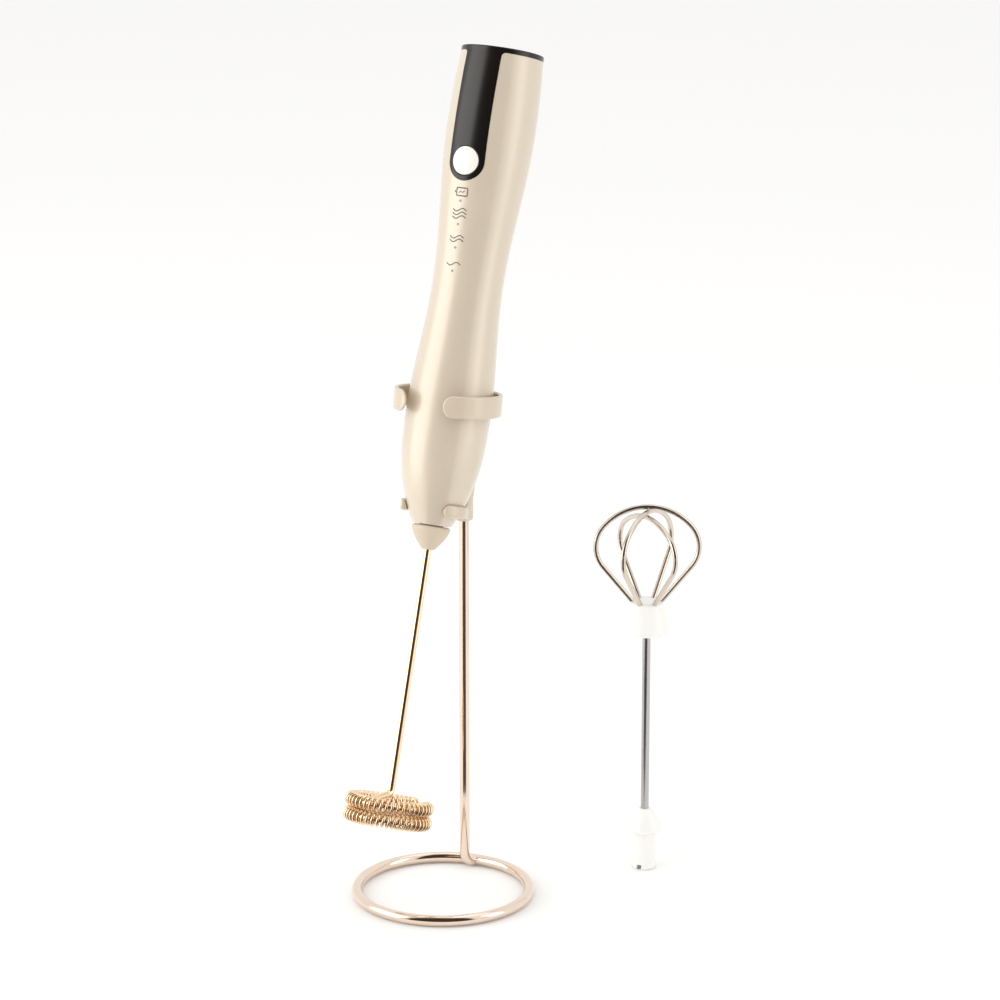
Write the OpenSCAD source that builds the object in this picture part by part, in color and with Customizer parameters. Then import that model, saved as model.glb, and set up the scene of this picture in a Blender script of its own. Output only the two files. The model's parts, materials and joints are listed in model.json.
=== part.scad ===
// Cordless milk frother resting in a wire stand, with its spring whisk fitted
// and a second, balloon-shaped whisk standing beside it on its own stem.
// The handle leans back in a two-ring holder that is pressed on a vertical rod.
// Units are millimetres, +Z is up, the origin is the middle of the base ring on
// the table, and the button faces -Y.

/* [Stand] */
// Radius of the base ring, to the middle of its wire
ring_r = 29; // [22:0.5:40]
// Radius of the base ring's wire
ring_wire_r = 1.8; // [1.2:0.1:3]
// Radius of the upright rod
rod_r = 1.75; // [1.2:0.05:3]
// Distance of the rod behind the middle of the ring
rod_y = 24.2; // [15:0.5:27]
// Height of the rod's top end
rod_top = 137; // [110:1:150]
// Bend radius at the foot of the rod
foot_bend = 4; // [3:0.5:8]

/* [Pose of the handle] */
// Sideways offset of the handle from the ring's middle
handle_x = -5.6; // [-10:0.1:10]
// Front-to-back place of the seam between handle and whisk
seam_y = 3; // [-5:0.5:10]
// Height of the seam between handle and whisk
seam_z = 128.2; // [115:0.2:140]
// Backward lean of the handle
lean = 17.6; // [0:0.2:25]

/* [Handle] */
// Length of the housing
housing_len = 155.9; // [130:0.1:180]
// Radius at the nose
nose_r = 6.5; // [5:0.1:9]
// Radius of the lower belly
low_r = 14.1; // [12:0.1:17]
// Height of the lower belly
low_s = 37; // [25:1:50]
// Radius of the waist
waist_r = 11.7; // [11.5:0.1:13]
// Height of the waist
waist_s = 80; // [65:1:95]
// Radius of the upper belly
high_r = 14.7; // [13:0.1:17]
// Height of the upper belly
high_s = 132; // [120:1:140]
// Radius at the top
top_r = 13.7; // [12.5:0.1:15]
// Wall thickness of the housing
wall = 2; // [1.6:0.1:2.2]

/* [Cap and button] */
// Thickness of the cap's rim
cap_t = 1.8; // [1.2:0.1:3]
// Half width of the strip that runs down the front
strip_w = 6.5; // [5:0.1:8]
// Thickness of the strip
strip_t = 1; // [0.6:0.1:1.2]
// Height of the button's middle above the seam
button_s = 119.4; // [110:0.2:130]
// Radius of the button
button_r = 4.65; // [3.5:0.05:5.5]
// How far the button can be pressed
button_travel = 0.5; // [0.2:0.1:0.6]

/* [Spring whisk] */
// Radius of the spring ring, to the middle of the coil
coil_ring_r = 12.5; // [9:0.1:16]
// Outer radius of the coil itself
coil_r = 2.5; // [1.8:0.1:3.2]
// Depth of the upper coil ring below the seam
coil_s = 93.2; // [80:0.2:100]
// Radius of the whisk's shaft
shaft_r = 1.2; // [0.9:0.05:1.6]

/* [Balloon whisk] */
// Sideways place of the standing balloon whisk
egg_x = 47.2; // [40:0.2:70]
// Front-to-back place of the standing balloon whisk
egg_y = 56; // [-20:0.2:60]
// Height of the balloon's top
egg_top = 129.4; // [115:0.2:140]
// Radius of the balloon's wire
loop_wire_r = 0.9; // [0.6:0.05:1.2]
// Widest half width of a loop, to the middle of its wire
loop_half = 17.4; // [12:0.2:22]

/* [Hidden] */
$fn = 48;

// Free gap between two bodies that move apart.
gap = 0.35;
// Radial clearance of a turning or sliding fit.
run = 0.04;
// Overshoot of a cutting body past the face it cuts.
eps = 1;
// Spacing of the points along the housing's outline.
step_s = 4;

// Radius of the housing at height s above the seam.
function body_r(s) =
    s <= low_s
        ? nose_r + (low_r - nose_r) * (1 - pow(1 - max(s, 0) / low_s, 2.7))
    : s <= waist_s
        ? low_r + (waist_r - low_r) * (1 - cos(180 * (s - low_s) / (waist_s - low_s))) / 2
    : s <= high_s
        ? waist_r + (high_r - waist_r) * (1 - cos(180 * (s - waist_s) / (high_s - waist_s))) / 2
    : high_r - (high_r - top_r) * pow((s - high_s) / (housing_len - high_s), 2);

// Outline points of the housing between two heights, moved out by d.
function outline(s0, s1, d) =
    let (n = ceil((s1 - s0) / step_s))
    [for (i = [0 : n]) let (s = s0 + (s1 - s0) * i / n) [body_r(s) + d, s]];

function reversed(p) = [for (i = [len(p) - 1 : -1 : 0]) p[i]];

// Places a child from the handle's own frame into the leaning pose.
module leaning() {
    translate([handle_x, seam_y, seam_z])
        rotate([-lean, 0, 0])
            children();
}

// Tube between two heights of the handle's frame.
module tube(r_out, r_in, s0, s1) {
    translate([0, 0, s0])
        difference() {
            cylinder(r = r_out, h = s1 - s0);
            translate([0, 0, -eps])
                cylinder(r = r_in, h = s1 - s0 + 2 * eps);
        }
}

// Round bar that lies along the front-to-back direction.
module bar_y(r, v0, v1) {
    translate([0, v1, 0])
        rotate([90, 0, 0])
            cylinder(r = r, h = v1 - v0);
}

// Shell of revolution that follows the housing between two heights.
module skin(s0, s1, d_in, d_out) {
    rotate_extrude()
        polygon(concat(outline(s0, s1, d_out), reversed(outline(s0, s1, d_in))));
}

// ---- stand ----

wire_z = ring_wire_r;
// The foot leaves the rod towards the nearest point of the ring's back.
foot_dir = [0.342, 0.94];

module base_ring() {
    color([0.80, 0.70, 0.62])
        translate([0, 0, wire_z])
            rotate_extrude()
                translate([ring_r, 0])
                    circle(r = ring_wire_r, $fn = 24);
}

module stand_rod() {
    color([0.80, 0.70, 0.62])
        difference() {
            union() {
                translate([handle_x, rod_y, wire_z + foot_bend])
                    cylinder(r = rod_r, h = rod_top - wire_z - foot_bend, $fn = 24);
                translate([handle_x, rod_y, wire_z + foot_bend])
                    rotate([0, 0, atan2(foot_dir[1], foot_dir[0])])
                        translate([foot_bend, 0, 0])
                            rotate([-90, 0, 0])
                                rotate([0, 0, 90])
                                    rotate_extrude(angle = 90)
                                        translate([foot_bend, 0])
                                            circle(r = rod_r, $fn = 24);
            }
            translate([0, 0, wire_z])
                rotate_extrude()
                    translate([ring_r, 0])
                        circle(r = ring_wire_r + 0.02, $fn = 24);
        }
}

// Upper ring of the holder: its height on the handle, offset, section and tilt.
band_s = 41;
band_h = 7.4;
band_in = 16.6;
band_out = 18;
band_v = -1.5;
band_open = 36;
band_tilt = 8;
// Lower ring of the holder.
seat_s0 = 3.3;
seat_s1 = 7.3;
seat_out = 11.4;
seat_open = 48;
// Spine that joins the two rings.
spine_w = 8;
spine_v0 = 15.2;
spine_v1 = 19.4;
spine_s0 = 3;
spine_s1 = 47.5;
// Socket that takes the top of the rod.
socket_r = 3.2;
socket_z0 = 124.6;
socket_z1 = 146;

// Wedge that opens a ring towards the front, out to radius r.
module front_wedge(half, r, s0, s1) {
    translate([0, 0, s0])
        linear_extrude(height = s1 - s0)
            polygon([[0, 0], [-r * tan(half), -r], [r * tan(half), -r]]);
}

// Slotted ring with round ends on both sides of its opening.
module open_band() {
    mid = (band_in + band_out) / 2;
    difference() {
        tube(band_out, band_in, band_s - band_h / 2, band_s + band_h / 2);
        front_wedge(band_open, 2 * band_out, band_s - band_h, band_s + band_h);
    }
    for (side = [-1, 1])
        intersection() {
            tube(band_out, band_in, band_s - band_h / 2, band_s + band_h / 2);
            translate([0, 0, band_s])
                rotate([0, 0, side * band_open])
                    bar_y(band_h / 2, -band_out - eps, 0);
        }
}

module holder() {
    color([0.93, 0.90, 0.85])
        difference() {
            union() {
                leaning() {
                    // The front of the upper ring hangs a little lower than its back.
                    translate([0, band_v, band_s])
                        rotate([band_tilt, 0, 0])
                            translate([0, 0, -band_s])
                                open_band();
                    difference() {
                        translate([0, 0, seat_s0])
                            cylinder(r = seat_out, h = seat_s1 - seat_s0);
                        skin(seat_s0 - eps, seat_s1 + eps, -6, gap);
                        translate([0, 0, seat_s0 - eps])
                            cylinder(r = body_r(seat_s0) - 2, h = seat_s1 - seat_s0 + 2 * eps);
                        front_wedge(seat_open, 2 * seat_out, seat_s0 - eps, seat_s1 + eps);
                    }
                    // Web from the lower ring back to the spine.
                    translate([-spine_w / 2, seat_out - 0.6, seat_s0])
                        cube([spine_w, spine_v0 - seat_out + 1, seat_s1 - seat_s0]);
                    translate([-spine_w / 2, spine_v0, spine_s0])
                        cube([spine_w, spine_v1 - spine_v0, spine_s1 - spine_s0]);
                }
                intersection() {
                    translate([handle_x, rod_y, socket_z0])
                        cylinder(r = socket_r, h = socket_z1 - socket_z0);
                    leaning()
                        translate([-20, spine_v0, -10])
                            cube([40, 20, 40]);
                }
            }
            translate([handle_x, rod_y, socket_z0 - eps])
                cylinder(r = rod_r, h = rod_top - socket_z0 + eps, $fn = 24);
        }
}

// ---- handle ----

boss_r = 6.5;
boss_s0 = 8;
seal_s0 = 18.4;
motor_s0 = 20.4;
stem_r = 3.95;
mouth_r = stem_r + gap;
cell_r = 7.1;
cell_v = 1.2;
cell_s0 = 62;
cell_s1 = 112;
board_w = 11;
board_v0 = -7.2;
board_v1 = -6.2;
board_s0 = 50;
board_s1 = 151;
light_pitch = 7.65;
light_s0 = 83.3;
light_r = 0.45;
cap_edge = 0.5;
cap_rise = 0.7;
usb_w = 8.9;
usb_t = 3.2;
usb_v = (board_v1 + usb_t / 2);

catch_v = -11.15;

function light_s(i) = light_s0 + i * light_pitch;

// Front outline of the strip, grown by g: straight sides and a round lower end.
module strip_shape(g, top) {
    translate([0, button_s])
        circle(r = strip_w + g);
    translate([-strip_w - g, button_s])
        square([2 * (strip_w + g), top - button_s]);
}

// The same outline carried through the front half of the handle.
module strip_block(g, top) {
    rotate([90, 0, 0])
        linear_extrude(height = 2 * high_r)
            strip_shape(g, top);
}

module housing() {
    color([0.91, 0.87, 0.81])
        leaning()
            difference() {
                rotate_extrude($fn = 64)
                    polygon(concat([[0, 0]], outline(0, housing_len, 0), [[0, housing_len]]));
                // Inside room, with a boss left standing round the mouth.
                rotate_extrude()
                    polygon(concat(
                        [[boss_r, boss_s0]],
                        outline(boss_s0, housing_len, -wall),
                        [
                            [top_r - wall, housing_len + eps],
                            [0, housing_len + eps],
                            [0, motor_s0],
                            [boss_r, motor_s0]
                        ]
                    ));
                translate([0, 0, -eps])
                    cylinder(r = mouth_r, h = motor_s0);
                translate([0, 0, seal_s0])
                    cylinder(r = 5.2, h = motor_s0 - seal_s0 + eps);
                // Recess for the strip.
                intersection() {
                    skin(button_s - 2 * step_s, housing_len, -strip_t - 0.05, eps);
                    strip_block(0.05, housing_len + eps);
                }
                // Holes for the button and its two catches.
                translate([0, 0, button_s]) {
                    bar_y(button_r + gap, -2 * high_r, 0);
                }
                for (i = [0 : 3])
                    translate([0, 0, light_s(i)])
                        bar_y(light_r + 0.02, -2 * high_r, 0);
            }
}

module panel_cap() {
    color([0.05, 0.05, 0.05])
        leaning()
            difference() {
                union() {
                    // Slightly domed top with a broken edge.
                    rotate_extrude($fn = 64)
                        polygon(concat(
                            [
                                [0, housing_len],
                                [top_r, housing_len],
                                [top_r, housing_len + cap_t - cap_edge]
                            ],
                            [for (i = [0 : 6]) let (r = (top_r - cap_edge) * (1 - i / 6)) [
                                r,
                                housing_len + cap_t
                                    + cap_rise * (1 - pow(r / (top_r - cap_edge), 2))
                            ]]
                        ));
                    // Plug ring inside the housing's top.
                    tube(top_r - wall - 0.05, top_r - wall - 1.6,
                        housing_len - 3.4, housing_len + 0.2);
                    intersection() {
                        skin(button_s - 2 * step_s, housing_len, -strip_t, 0.12);
                        strip_block(0, housing_len);
                    }
                }
                translate([0, 0, button_s])
                    bar_y(button_r + gap, -2 * high_r, 0);
                // Charging slot in the top.
                translate([0, usb_v, housing_len - 5])
                    linear_extrude(height = 20)
                        slot_shape(usb_w + 0.5, usb_t + 0.5);
            }
}

// Rounded slot, w wide and t high.
module slot_shape(w, t) {
    for (side = [-1, 1])
        translate([side * (w - t) / 2, 0])
            circle(r = t / 2, $fn = 24);
    square([w - t, t], center = true);
}

module power_button() {
    color([0.95, 0.94, 0.90])
        leaning() {
            intersection() {
                rotate_extrude()
                    polygon(concat(
                        [[0, button_s - 6]],
                        outline(button_s - 6, button_s + 7, gap),
                        [[0, button_s + 7]]
                    ));
                translate([0, 0, button_s])
                    bar_y(button_r, -2 * high_r, catch_v);
            }
            // Two catches behind the housing wall, and the pusher in the middle.
            translate([-2, catch_v - 0.2, button_s - button_r - 1.1])
                cube([4, 1.1, 2 * (button_r + 1.1)]);
            translate([0, 0, button_s])
                bar_y(1.6, catch_v, -10);
        }
}

module switch_plunger() {
    color([0.12, 0.12, 0.12])
        leaning()
            translate([0, 0, button_s])
                bar_y(1, -10, board_v0 - 0.5 - button_travel);
}

module tact_switch() {
    color([0.75, 0.76, 0.78])
        leaning()
            difference() {
                translate([-2.25, board_v0 - 1.7, button_s - 2.25])
                    cube([4.5, 1.7, 4.5]);
                translate([0, 0, button_s])
                    bar_y(1 + gap, board_v0 - 1.7 - eps, board_v0 - 0.15);
            }
}

module light_guide() {
    color([0.97, 0.97, 0.95])
        leaning() {
            for (i = [0 : 3])
                translate([0, 0, light_s(i)])
                    bar_y(light_r, -body_r(light_s(i)) - 0.05, -8.6);
            translate([-0.9, -8.8, light_s(0) - 0.9])
                cube([1.8, 0.7, light_s(3) - light_s(0) + 1.8]);
        }
}

module led(i) {
    color([0.96, 0.93, 0.70])
        leaning()
            translate([-0.8, board_v0 - 0.6, light_s(i) - 0.4])
                cube([1.6, 0.6, 0.8]);
}

module led_1() {
    led(0);
}

module led_2() {
    led(1);
}

module led_3() {
    led(2);
}

module led_4() {
    led(3);
}

frame_out = 9.5;
frame_in = 8.55;
frame_s0 = 21.4;
frame_s1 = 150;
screw_low = [0, 59.6];
screw_high = [3, 114.3];

module inner_frame() {
    color([0.30, 0.31, 0.33])
        leaning()
            difference() {
                union() {
                    // Cradle open at the front for the board.
                    intersection() {
                        tube(frame_out, frame_in, 47, frame_s1);
                        translate([-10, board_v1, 46])
                            cube([20, 20, 110]);
                    }
                    // Full sleeve round the motor.
                    tube(frame_out, 8.05, frame_s0, 48);
                    for (side = [-1, 1])
                        translate([side * 5.95 - 1.35, board_v1, 48])
                            cube([2.7, 1.3, frame_s1 - 48]);
                    // End walls below and above the cell.
                    for (s = [[58, 61.4], [112.6, 116]])
                        intersection() {
                            translate([0, 0, s[0]])
                                cylinder(r = frame_out, h = s[1] - s[0]);
                            translate([-10, board_v1, s[0] - eps])
                                cube([20, 20, 20]);
                        }
                }
                for (p = [screw_low, screw_high])
                    translate([p[0], 0, p[1]])
                        bar_y(0.8, board_v1 - eps, board_v1 + 4.2);
                // Windows that lighten the back.
                for (s = [66, 90, 122])
                    translate([-4, 0, s])
                        cube([8, 12, 18]);
            }
}

module control_board() {
    color([0.10, 0.35, 0.20])
        leaning()
            difference() {
                translate([-board_w / 2, board_v0, board_s0])
                    cube([board_w, board_v1 - board_v0, board_s1 - board_s0]);
                for (p = [screw_low, screw_high])
                    translate([p[0], 0, p[1]])
                        bar_y(0.85, board_v0 - eps, board_v1 + eps);
            }
}

module board_screw(p) {
    color([0.70, 0.71, 0.73])
        leaning()
            translate([p[0], 0, p[1]])
                difference() {
                    union() {
                        bar_y(0.8, board_v0 - 0.2, board_v1 + 4);
                        bar_y(1.4, board_v0 - 0.8, board_v0);
                    }
                    for (turn = [0, 90])
                        rotate([0, turn, 0])
                            translate([-0.15, board_v0 - 0.8 - eps, -1])
                                cube([0.3, 0.35 + eps, 2]);
                }
}

module board_screw_1() {
    board_screw(screw_low);
}

module board_screw_2() {
    board_screw(screw_high);
}

module usb_socket() {
    color([0.72, 0.73, 0.75])
        leaning()
            translate([0, usb_v, 149])
                difference() {
                    linear_extrude(height = 7.3)
                        slot_shape(usb_w, usb_t);
                    translate([0, 0, 1])
                        linear_extrude(height = 7.3)
                            difference() {
                                slot_shape(usb_w - 0.6, usb_t - 0.6);
                                square([6.6, 0.7], center = true);
                            }
                }
}

module battery_cell() {
    color([0.20, 0.45, 0.65])
        leaning()
            translate([0, cell_v, cell_s0]) {
                cylinder(r = cell_r - 0.2, h = 0.4);
                translate([0, 0, 0.4])
                    cylinder(r = cell_r, h = cell_s1 - cell_s0 - 1.2);
                translate([0, 0, cell_s1 - cell_s0 - 0.8])
                    cylinder(r = 2.9, h = 0.8);
            }
}

// Nickel strip from one end of the cell to the board.
module battery_tab(s) {
    color([0.80, 0.80, 0.78])
        leaning()
            translate([-2, board_v1, s])
                cube([4, 9, 0.2]);
}

module battery_tab_low() {
    battery_tab(cell_s0 - 0.2);
}

module battery_tab_high() {
    battery_tab(cell_s1);
}

can_r = 8;
can_s1 = 43;
bearing_r = 2.5;

module motor_can() {
    color([0.76, 0.77, 0.79])
        leaning()
            difference() {
                translate([0, 0, motor_s0])
                    cylinder(r = can_r, h = can_s1 - motor_s0);
                translate([0, 0, motor_s0 + 2])
                    cylinder(r = can_r - 0.7, h = can_s1);
                translate([0, 0, motor_s0 - eps])
                    cylinder(r = bearing_r, h = 10);
            }
}

// Curved magnet on one side of the can.
module magnet(side) {
    color([0.25, 0.25, 0.27])
        leaning()
            translate([0, 0, 24])
                rotate([0, 0, side * 90 - 150])
                    rotate_extrude(angle = 120)
                        translate([6, 0])
                            square([1.28, 14]);
}

module magnet_left() {
    magnet(-1);
}

module magnet_right() {
    magnet(1);
}

module front_bearing() {
    color([0.72, 0.58, 0.35])
        leaning()
            tube(bearing_r, 1 + run, motor_s0 + 0.1, motor_s0 + 2.2);
}

module rear_bearing() {
    color([0.72, 0.58, 0.35])
        leaning()
            tube(bearing_r, 1 + run, can_s1 + 0.5, can_s1 + 2.8);
}

module end_bell() {
    color([0.94, 0.94, 0.92])
        leaning()
            difference() {
                union() {
                    translate([0, 0, can_s1])
                        cylinder(r = can_r, h = 1.2);
                    tube(can_r - 0.72, 5.6, can_s1 - 2.5, can_s1 + 0.2);
                    translate([0, 0, can_s1 + 1])
                        cylinder(r = 3.6, h = 1.8);
                }
                translate([0, 0, can_s1 - eps])
                    cylinder(r = 1.6, h = 10);
                translate([0, 0, can_s1 + 0.5])
                    cylinder(r = bearing_r, h = 10);
                for (side = [-1, 1])
                    translate([side * 3 - 0.52, -5.02, can_s1 - 3.5])
                        cube([1.04, 1.04, 8]);
            }
}

// Brush arm beside the commutator with its terminal through the end bell.
module brush(side) {
    color([0.80, 0.50, 0.30])
        leaning()
            union() {
                translate([side * 3 - 0.5, -5, 39])
                    cube([1, 7, 0.6]);
                translate([side * 3 - 0.5, -5, 39])
                    cube([1, 1, can_s1 + 2.2 - 39]);
            }
}

module brush_left() {
    brush(-1);
}

module brush_right() {
    brush(1);
}

// Insulated lead from a motor terminal to the back of the board.
module lead(side) {
    rise = board_s0 + 2;
    leaning() {
        translate([side * 3, -4.5, can_s1 + 2.2])
            cylinder(r = 0.5, h = rise - can_s1 - 2.2, $fn = 16);
        translate([side * 3, -5.5, rise])
            rotate([90, 0, 90])
                rotate_extrude(angle = 90, $fn = 16)
                    translate([1, 0])
                        circle(r = 0.5);
        translate([side * 3, 0, rise + 1])
            bar_y(0.5, board_v1, -5.5, $fn = 16);
    }
}

module lead_red() {
    color([0.75, 0.10, 0.10])
        lead(1);
}

module lead_black() {
    color([0.08, 0.08, 0.08])
        lead(-1);
}

module shaft_seal() {
    color([0.20, 0.20, 0.21])
        leaning()
            difference() {
                tube(5.15, 1 + run, seal_s0, motor_s0 - 0.05);
                translate([0, 0, seal_s0 + 0.8])
                    tube(3.6, 2, 0, 3);
            }
}

// ---- turning parts of the motor ----

shaft_s0 = 9.5;
shaft_s1 = 46.4;
stem_s1 = 13.05;
tongue_w = 1;
slot_w = 1.7;
slot_d = 1.6;

module motor_shaft() {
    color([0.82, 0.83, 0.84])
        leaning()
            translate([0, 0, shaft_s0])
                cylinder(r = 1, h = shaft_s1 - shaft_s0, $fn = 32);
}

// Three poles with curved shoes, drawn as one lamination.
module armature_plate() {
    difference() {
        union() {
            circle(r = 2.2);
            for (i = [0 : 2])
                rotate([0, 0, 120 * i + 30]) {
                    translate([-0.8, 1.6])
                        square([1.6, 3.6]);
                    intersection() {
                        difference() {
                            circle(r = 5.65);
                            circle(r = 4.9);
                        }
                        polygon([[0, 0], [-6.2, 6.6], [6.2, 6.6]]);
                    }
                }
        }
        circle(r = 1, $fn = 32);
    }
}

module armature_core() {
    color([0.45, 0.46, 0.48])
        leaning()
            translate([0, 0, 25])
                linear_extrude(height = 11)
                    armature_plate();
}

// Winding round one pole of the armature.
module armature_coil(i) {
    color([0.75, 0.40, 0.20])
        leaning()
            rotate([0, 0, 120 * i + 30])
                translate([0, 0, 24.2])
                    difference() {
                        translate([-1.7, 2.6, 0])
                            cube([3.4, 1.85, 12.6]);
                        translate([-0.8, 2, 0.8])
                            cube([1.6, 4, 11]);
                    }
}

module armature_coil_1() {
    armature_coil(0);
}

module armature_coil_2() {
    armature_coil(1);
}

module armature_coil_3() {
    armature_coil(2);
}

module commutator() {
    color([0.78, 0.48, 0.28])
        leaning()
            difference() {
                tube(2.1, 1, 37.4, 41);
                for (i = [0 : 2])
                    rotate([0, 0, 120 * i])
                        translate([-0.15, 1.5, 37.4 - eps])
                            cube([0.3, 2, 4]);
            }
}

module drive_dog() {
    color([0.90, 0.90, 0.88])
        leaning()
            difference() {
                union() {
                    translate([0, 0, stem_s1 + gap])
                        cylinder(r = 3.6, h = 4);
                    translate([-tongue_w / 2, -3, stem_s1 - slot_d + gap])
                        cube([tongue_w, 6, slot_d + 0.5]);
                }
                translate([0, 0, 10])
                    cylinder(r = 1, h = 10, $fn = 32);
            }
}

// ---- whisk hubs, the same moulding on both whisks ----

hub_r = 6.4;
hub_tip_r = 2;
hub_len = 8.3;
hub_round = 0.9;

// Stem up, cone down, with the seat of the cone at z = -gap.
module hub(bore_r) {
    difference() {
        union() {
            rotate_extrude()
                polygon(concat(
                    [[0, -gap], [hub_r - hub_round, -gap], [hub_r, -gap - hub_round]],
                    [for (i = [1 : 6]) let (t = i / 6) [
                        hub_r + (hub_tip_r - hub_r) * pow(t, 1.5),
                        -gap - hub_round - (hub_len - gap - hub_round) * t
                    ]],
                    [[0, -hub_len]]
                ));
            translate([0, 0, -gap - 0.1])
                cylinder(r = stem_r, h = stem_s1 + gap + 0.1);
        }
        // Slot across the stem's end, bore for the motor shaft, bore for the whisk.
        translate([-slot_w / 2, -5, stem_s1 - slot_d])
            cube([slot_w, 10, 5]);
        translate([0, 0, shaft_s0 - 0.9])
            cylinder(r = 1 + run, h = 10, $fn = 32);
        translate([0, 0, -hub_len - eps])
            cylinder(r = bore_r, h = hub_len + eps + 5, $fn = 32);
    }
}

module whisk_hub() {
    color([0.85, 0.79, 0.70])
        leaning()
            hub(shaft_r);
}

bend_s = -89.5;
spoke_turn = -102;
coil_gap = 4.8;
core_r = 0.8;

module whisk_shaft() {
    color([0.86, 0.76, 0.66])
        leaning()
            translate([0, 0, bend_s])
                cylinder(r = shaft_r, h = 5 - bend_s, $fn = 24);
}

// Wire that carries the spring: a sloping spoke and two rings inside the coil.
module whisk_core() {
    drop = coil_s + bend_s;
    slope = atan2(drop, coil_ring_r);
    color([0.86, 0.76, 0.66])
        leaning()
            difference() {
                union() {
                    translate([0, 0, bend_s - 0.4])
                        sphere(r = shaft_r, $fn = 24);
                    translate([0, 0, bend_s - 0.4])
                        rotate([0, 0, spoke_turn])
                            rotate([0, 90 + slope, 0])
                                cylinder(r = 1, h = coil_ring_r / cos(slope), $fn = 20);
                    for (k = [0, 1])
                        translate([0, 0, -coil_s - k * coil_gap])
                            rotate_extrude()
                                translate([coil_ring_r, 0])
                                    circle(r = core_r, $fn = 16);
                    rotate([0, 0, spoke_turn])
                        translate([coil_ring_r, 0, -coil_s - coil_gap])
                            cylinder(r = core_r - 0.1, h = coil_gap, $fn = 16);
                }
                translate([0, 0, bend_s])
                    cylinder(r = 2, h = 5);
            }
}

// Coil spring drawn as the hollow ring its turns fill, slit along the inside.
module whisk_spring() {
    color([0.86, 0.76, 0.66])
        leaning()
            difference() {
                rotate_extrude()
                    difference() {
                        for (k = [0, 1])
                            translate([coil_ring_r, -coil_s - k * coil_gap])
                                circle(r = coil_r, $fn = 20);
                        for (k = [0, 1])
                            translate([coil_ring_r, -coil_s - k * coil_gap]) {
                                circle(r = coil_r - 0.4, $fn = 20);
                                translate([-coil_r - eps, -0.8])
                                    square([coil_r + eps, 1.6]);
                            }
                    }
                // Ways in for the spoke and for the link between the core's rings.
                translate([0, 0, bend_s - 0.4])
                    rotate([0, 0, spoke_turn])
                        rotate([0, 90 + atan2(coil_s + bend_s, coil_ring_r), 0])
                            cylinder(r = 1.2, h = coil_ring_r, $fn = 20);
                rotate([0, 0, spoke_turn])
                    translate([coil_ring_r, 0, -coil_s - coil_gap])
                        cylinder(r = core_r + 0.3, h = coil_gap, $fn = 16);
            }
}

// ---- balloon whisk, standing on its stem ----

collar_z0 = 84.5;
collar_z1 = 95.5;
collar_r0 = 7.9;
collar_r1 = 5.8;
egg_shaft_r = 1.4;
hub_seat = stem_s1;

// Each wire: a straight leg, a shoulder arc and a top arc, drawn for one half.
// Tilt of the legs from upright, and their distance apart where they leave the collar.
leg_tilt = 39.4;
leg_out = 5;
loop_z0 = 93;

module standing() {
    translate([egg_x, egg_y, 0])
        children();
}

module egg_hub() {
    color([0.92, 0.91, 0.88])
        standing()
            translate([0, 0, hub_seat])
                rotate([180, 0, 0])
                    hub(egg_shaft_r);
}

module egg_shaft() {
    color([0.75, 0.75, 0.75])
        standing()
            translate([0, 0, hub_seat - 5])
                cylinder(r = egg_shaft_r, h = collar_z0 + 4 - hub_seat + 5, $fn = 32);
}

module egg_collar() {
    color([0.92, 0.91, 0.88])
        standing()
            difference() {
                rotate_extrude()
                    polygon([
                        [0, collar_z0],
                        [collar_r0 - 1, collar_z0],
                        [collar_r0 - 0.3, collar_z0 + 0.3],
                        [collar_r0, collar_z0 + 1],
                        [collar_r1, collar_z1 - 0.6],
                        [collar_r1 - 0.6, collar_z1],
                        [0, collar_z1]
                    ]);
                translate([0, 0, collar_z0 - eps])
                    cylinder(r = egg_shaft_r, h = 4 + eps, $fn = 32);
                // Sockets for the six wire ends.
                for (k = [0 : 2], side = [0, 1])
                    rotate([0, 0, 30 + 60 * k + 180 * side])
                        loop_leg(k, loop_wire_r);
            }
}

// Wires are nested: each next one is lower by one wire at the top, with a tighter shoulder.
function loop_top(k) = egg_top - loop_wire_r - 2 * k * (loop_wire_r + 0.05);
function shoulder_r(k) = 11 - 1.4 * k;
function shoulder_x(k) = loop_half - shoulder_r(k);

// Height of the shoulder's middle that keeps the leg tangent to it.
function shoulder_z(k) =
    collar_z1 + shoulder_r(k) * sin(leg_tilt)
        + (shoulder_x(k) + shoulder_r(k) * cos(leg_tilt) - leg_out) / tan(leg_tilt);

function top_arc_r(k) =
    let (a = shoulder_x(k), b = loop_top(k) - shoulder_z(k), r = shoulder_r(k))
    (a * a + b * b - r * r) / (2 * (b - r));

// Angle, seen from the shoulder's middle, where the top arc takes over.
function hand_over(k) =
    atan2(shoulder_z(k) - (loop_top(k) - top_arc_r(k)), shoulder_x(k));

module loop_leg(k, r) {
    x_end = shoulder_x(k) + shoulder_r(k) * cos(leg_tilt);
    z_end = shoulder_z(k) - shoulder_r(k) * sin(leg_tilt);
    translate([x_end, 0, z_end])
        rotate([0, 180 + leg_tilt, 0])
            cylinder(r = r, h = (z_end - loop_z0) / cos(leg_tilt), $fn = 16);
}

// Arc in the X-Z plane about a middle point, between two angles from +X.
module wire_arc(cx, cz, big_r, a0, a1) {
    translate([cx, 0, cz])
        rotate([90, 0, 0])
            rotate([0, 0, a0])
                rotate_extrude(angle = a1 - a0, $fn = 72)
                    translate([big_r, 0])
                        circle(r = loop_wire_r, $fn = 16);
}

// Small bead where two stretches of the wire meet on the shoulder arc.
module wire_joint(k, a) {
    translate([
        shoulder_x(k) + shoulder_r(k) * cos(a),
        0,
        shoulder_z(k) + shoulder_r(k) * sin(a)
    ])
        sphere(r = loop_wire_r + 0.04, $fn = 16);
}

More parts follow.
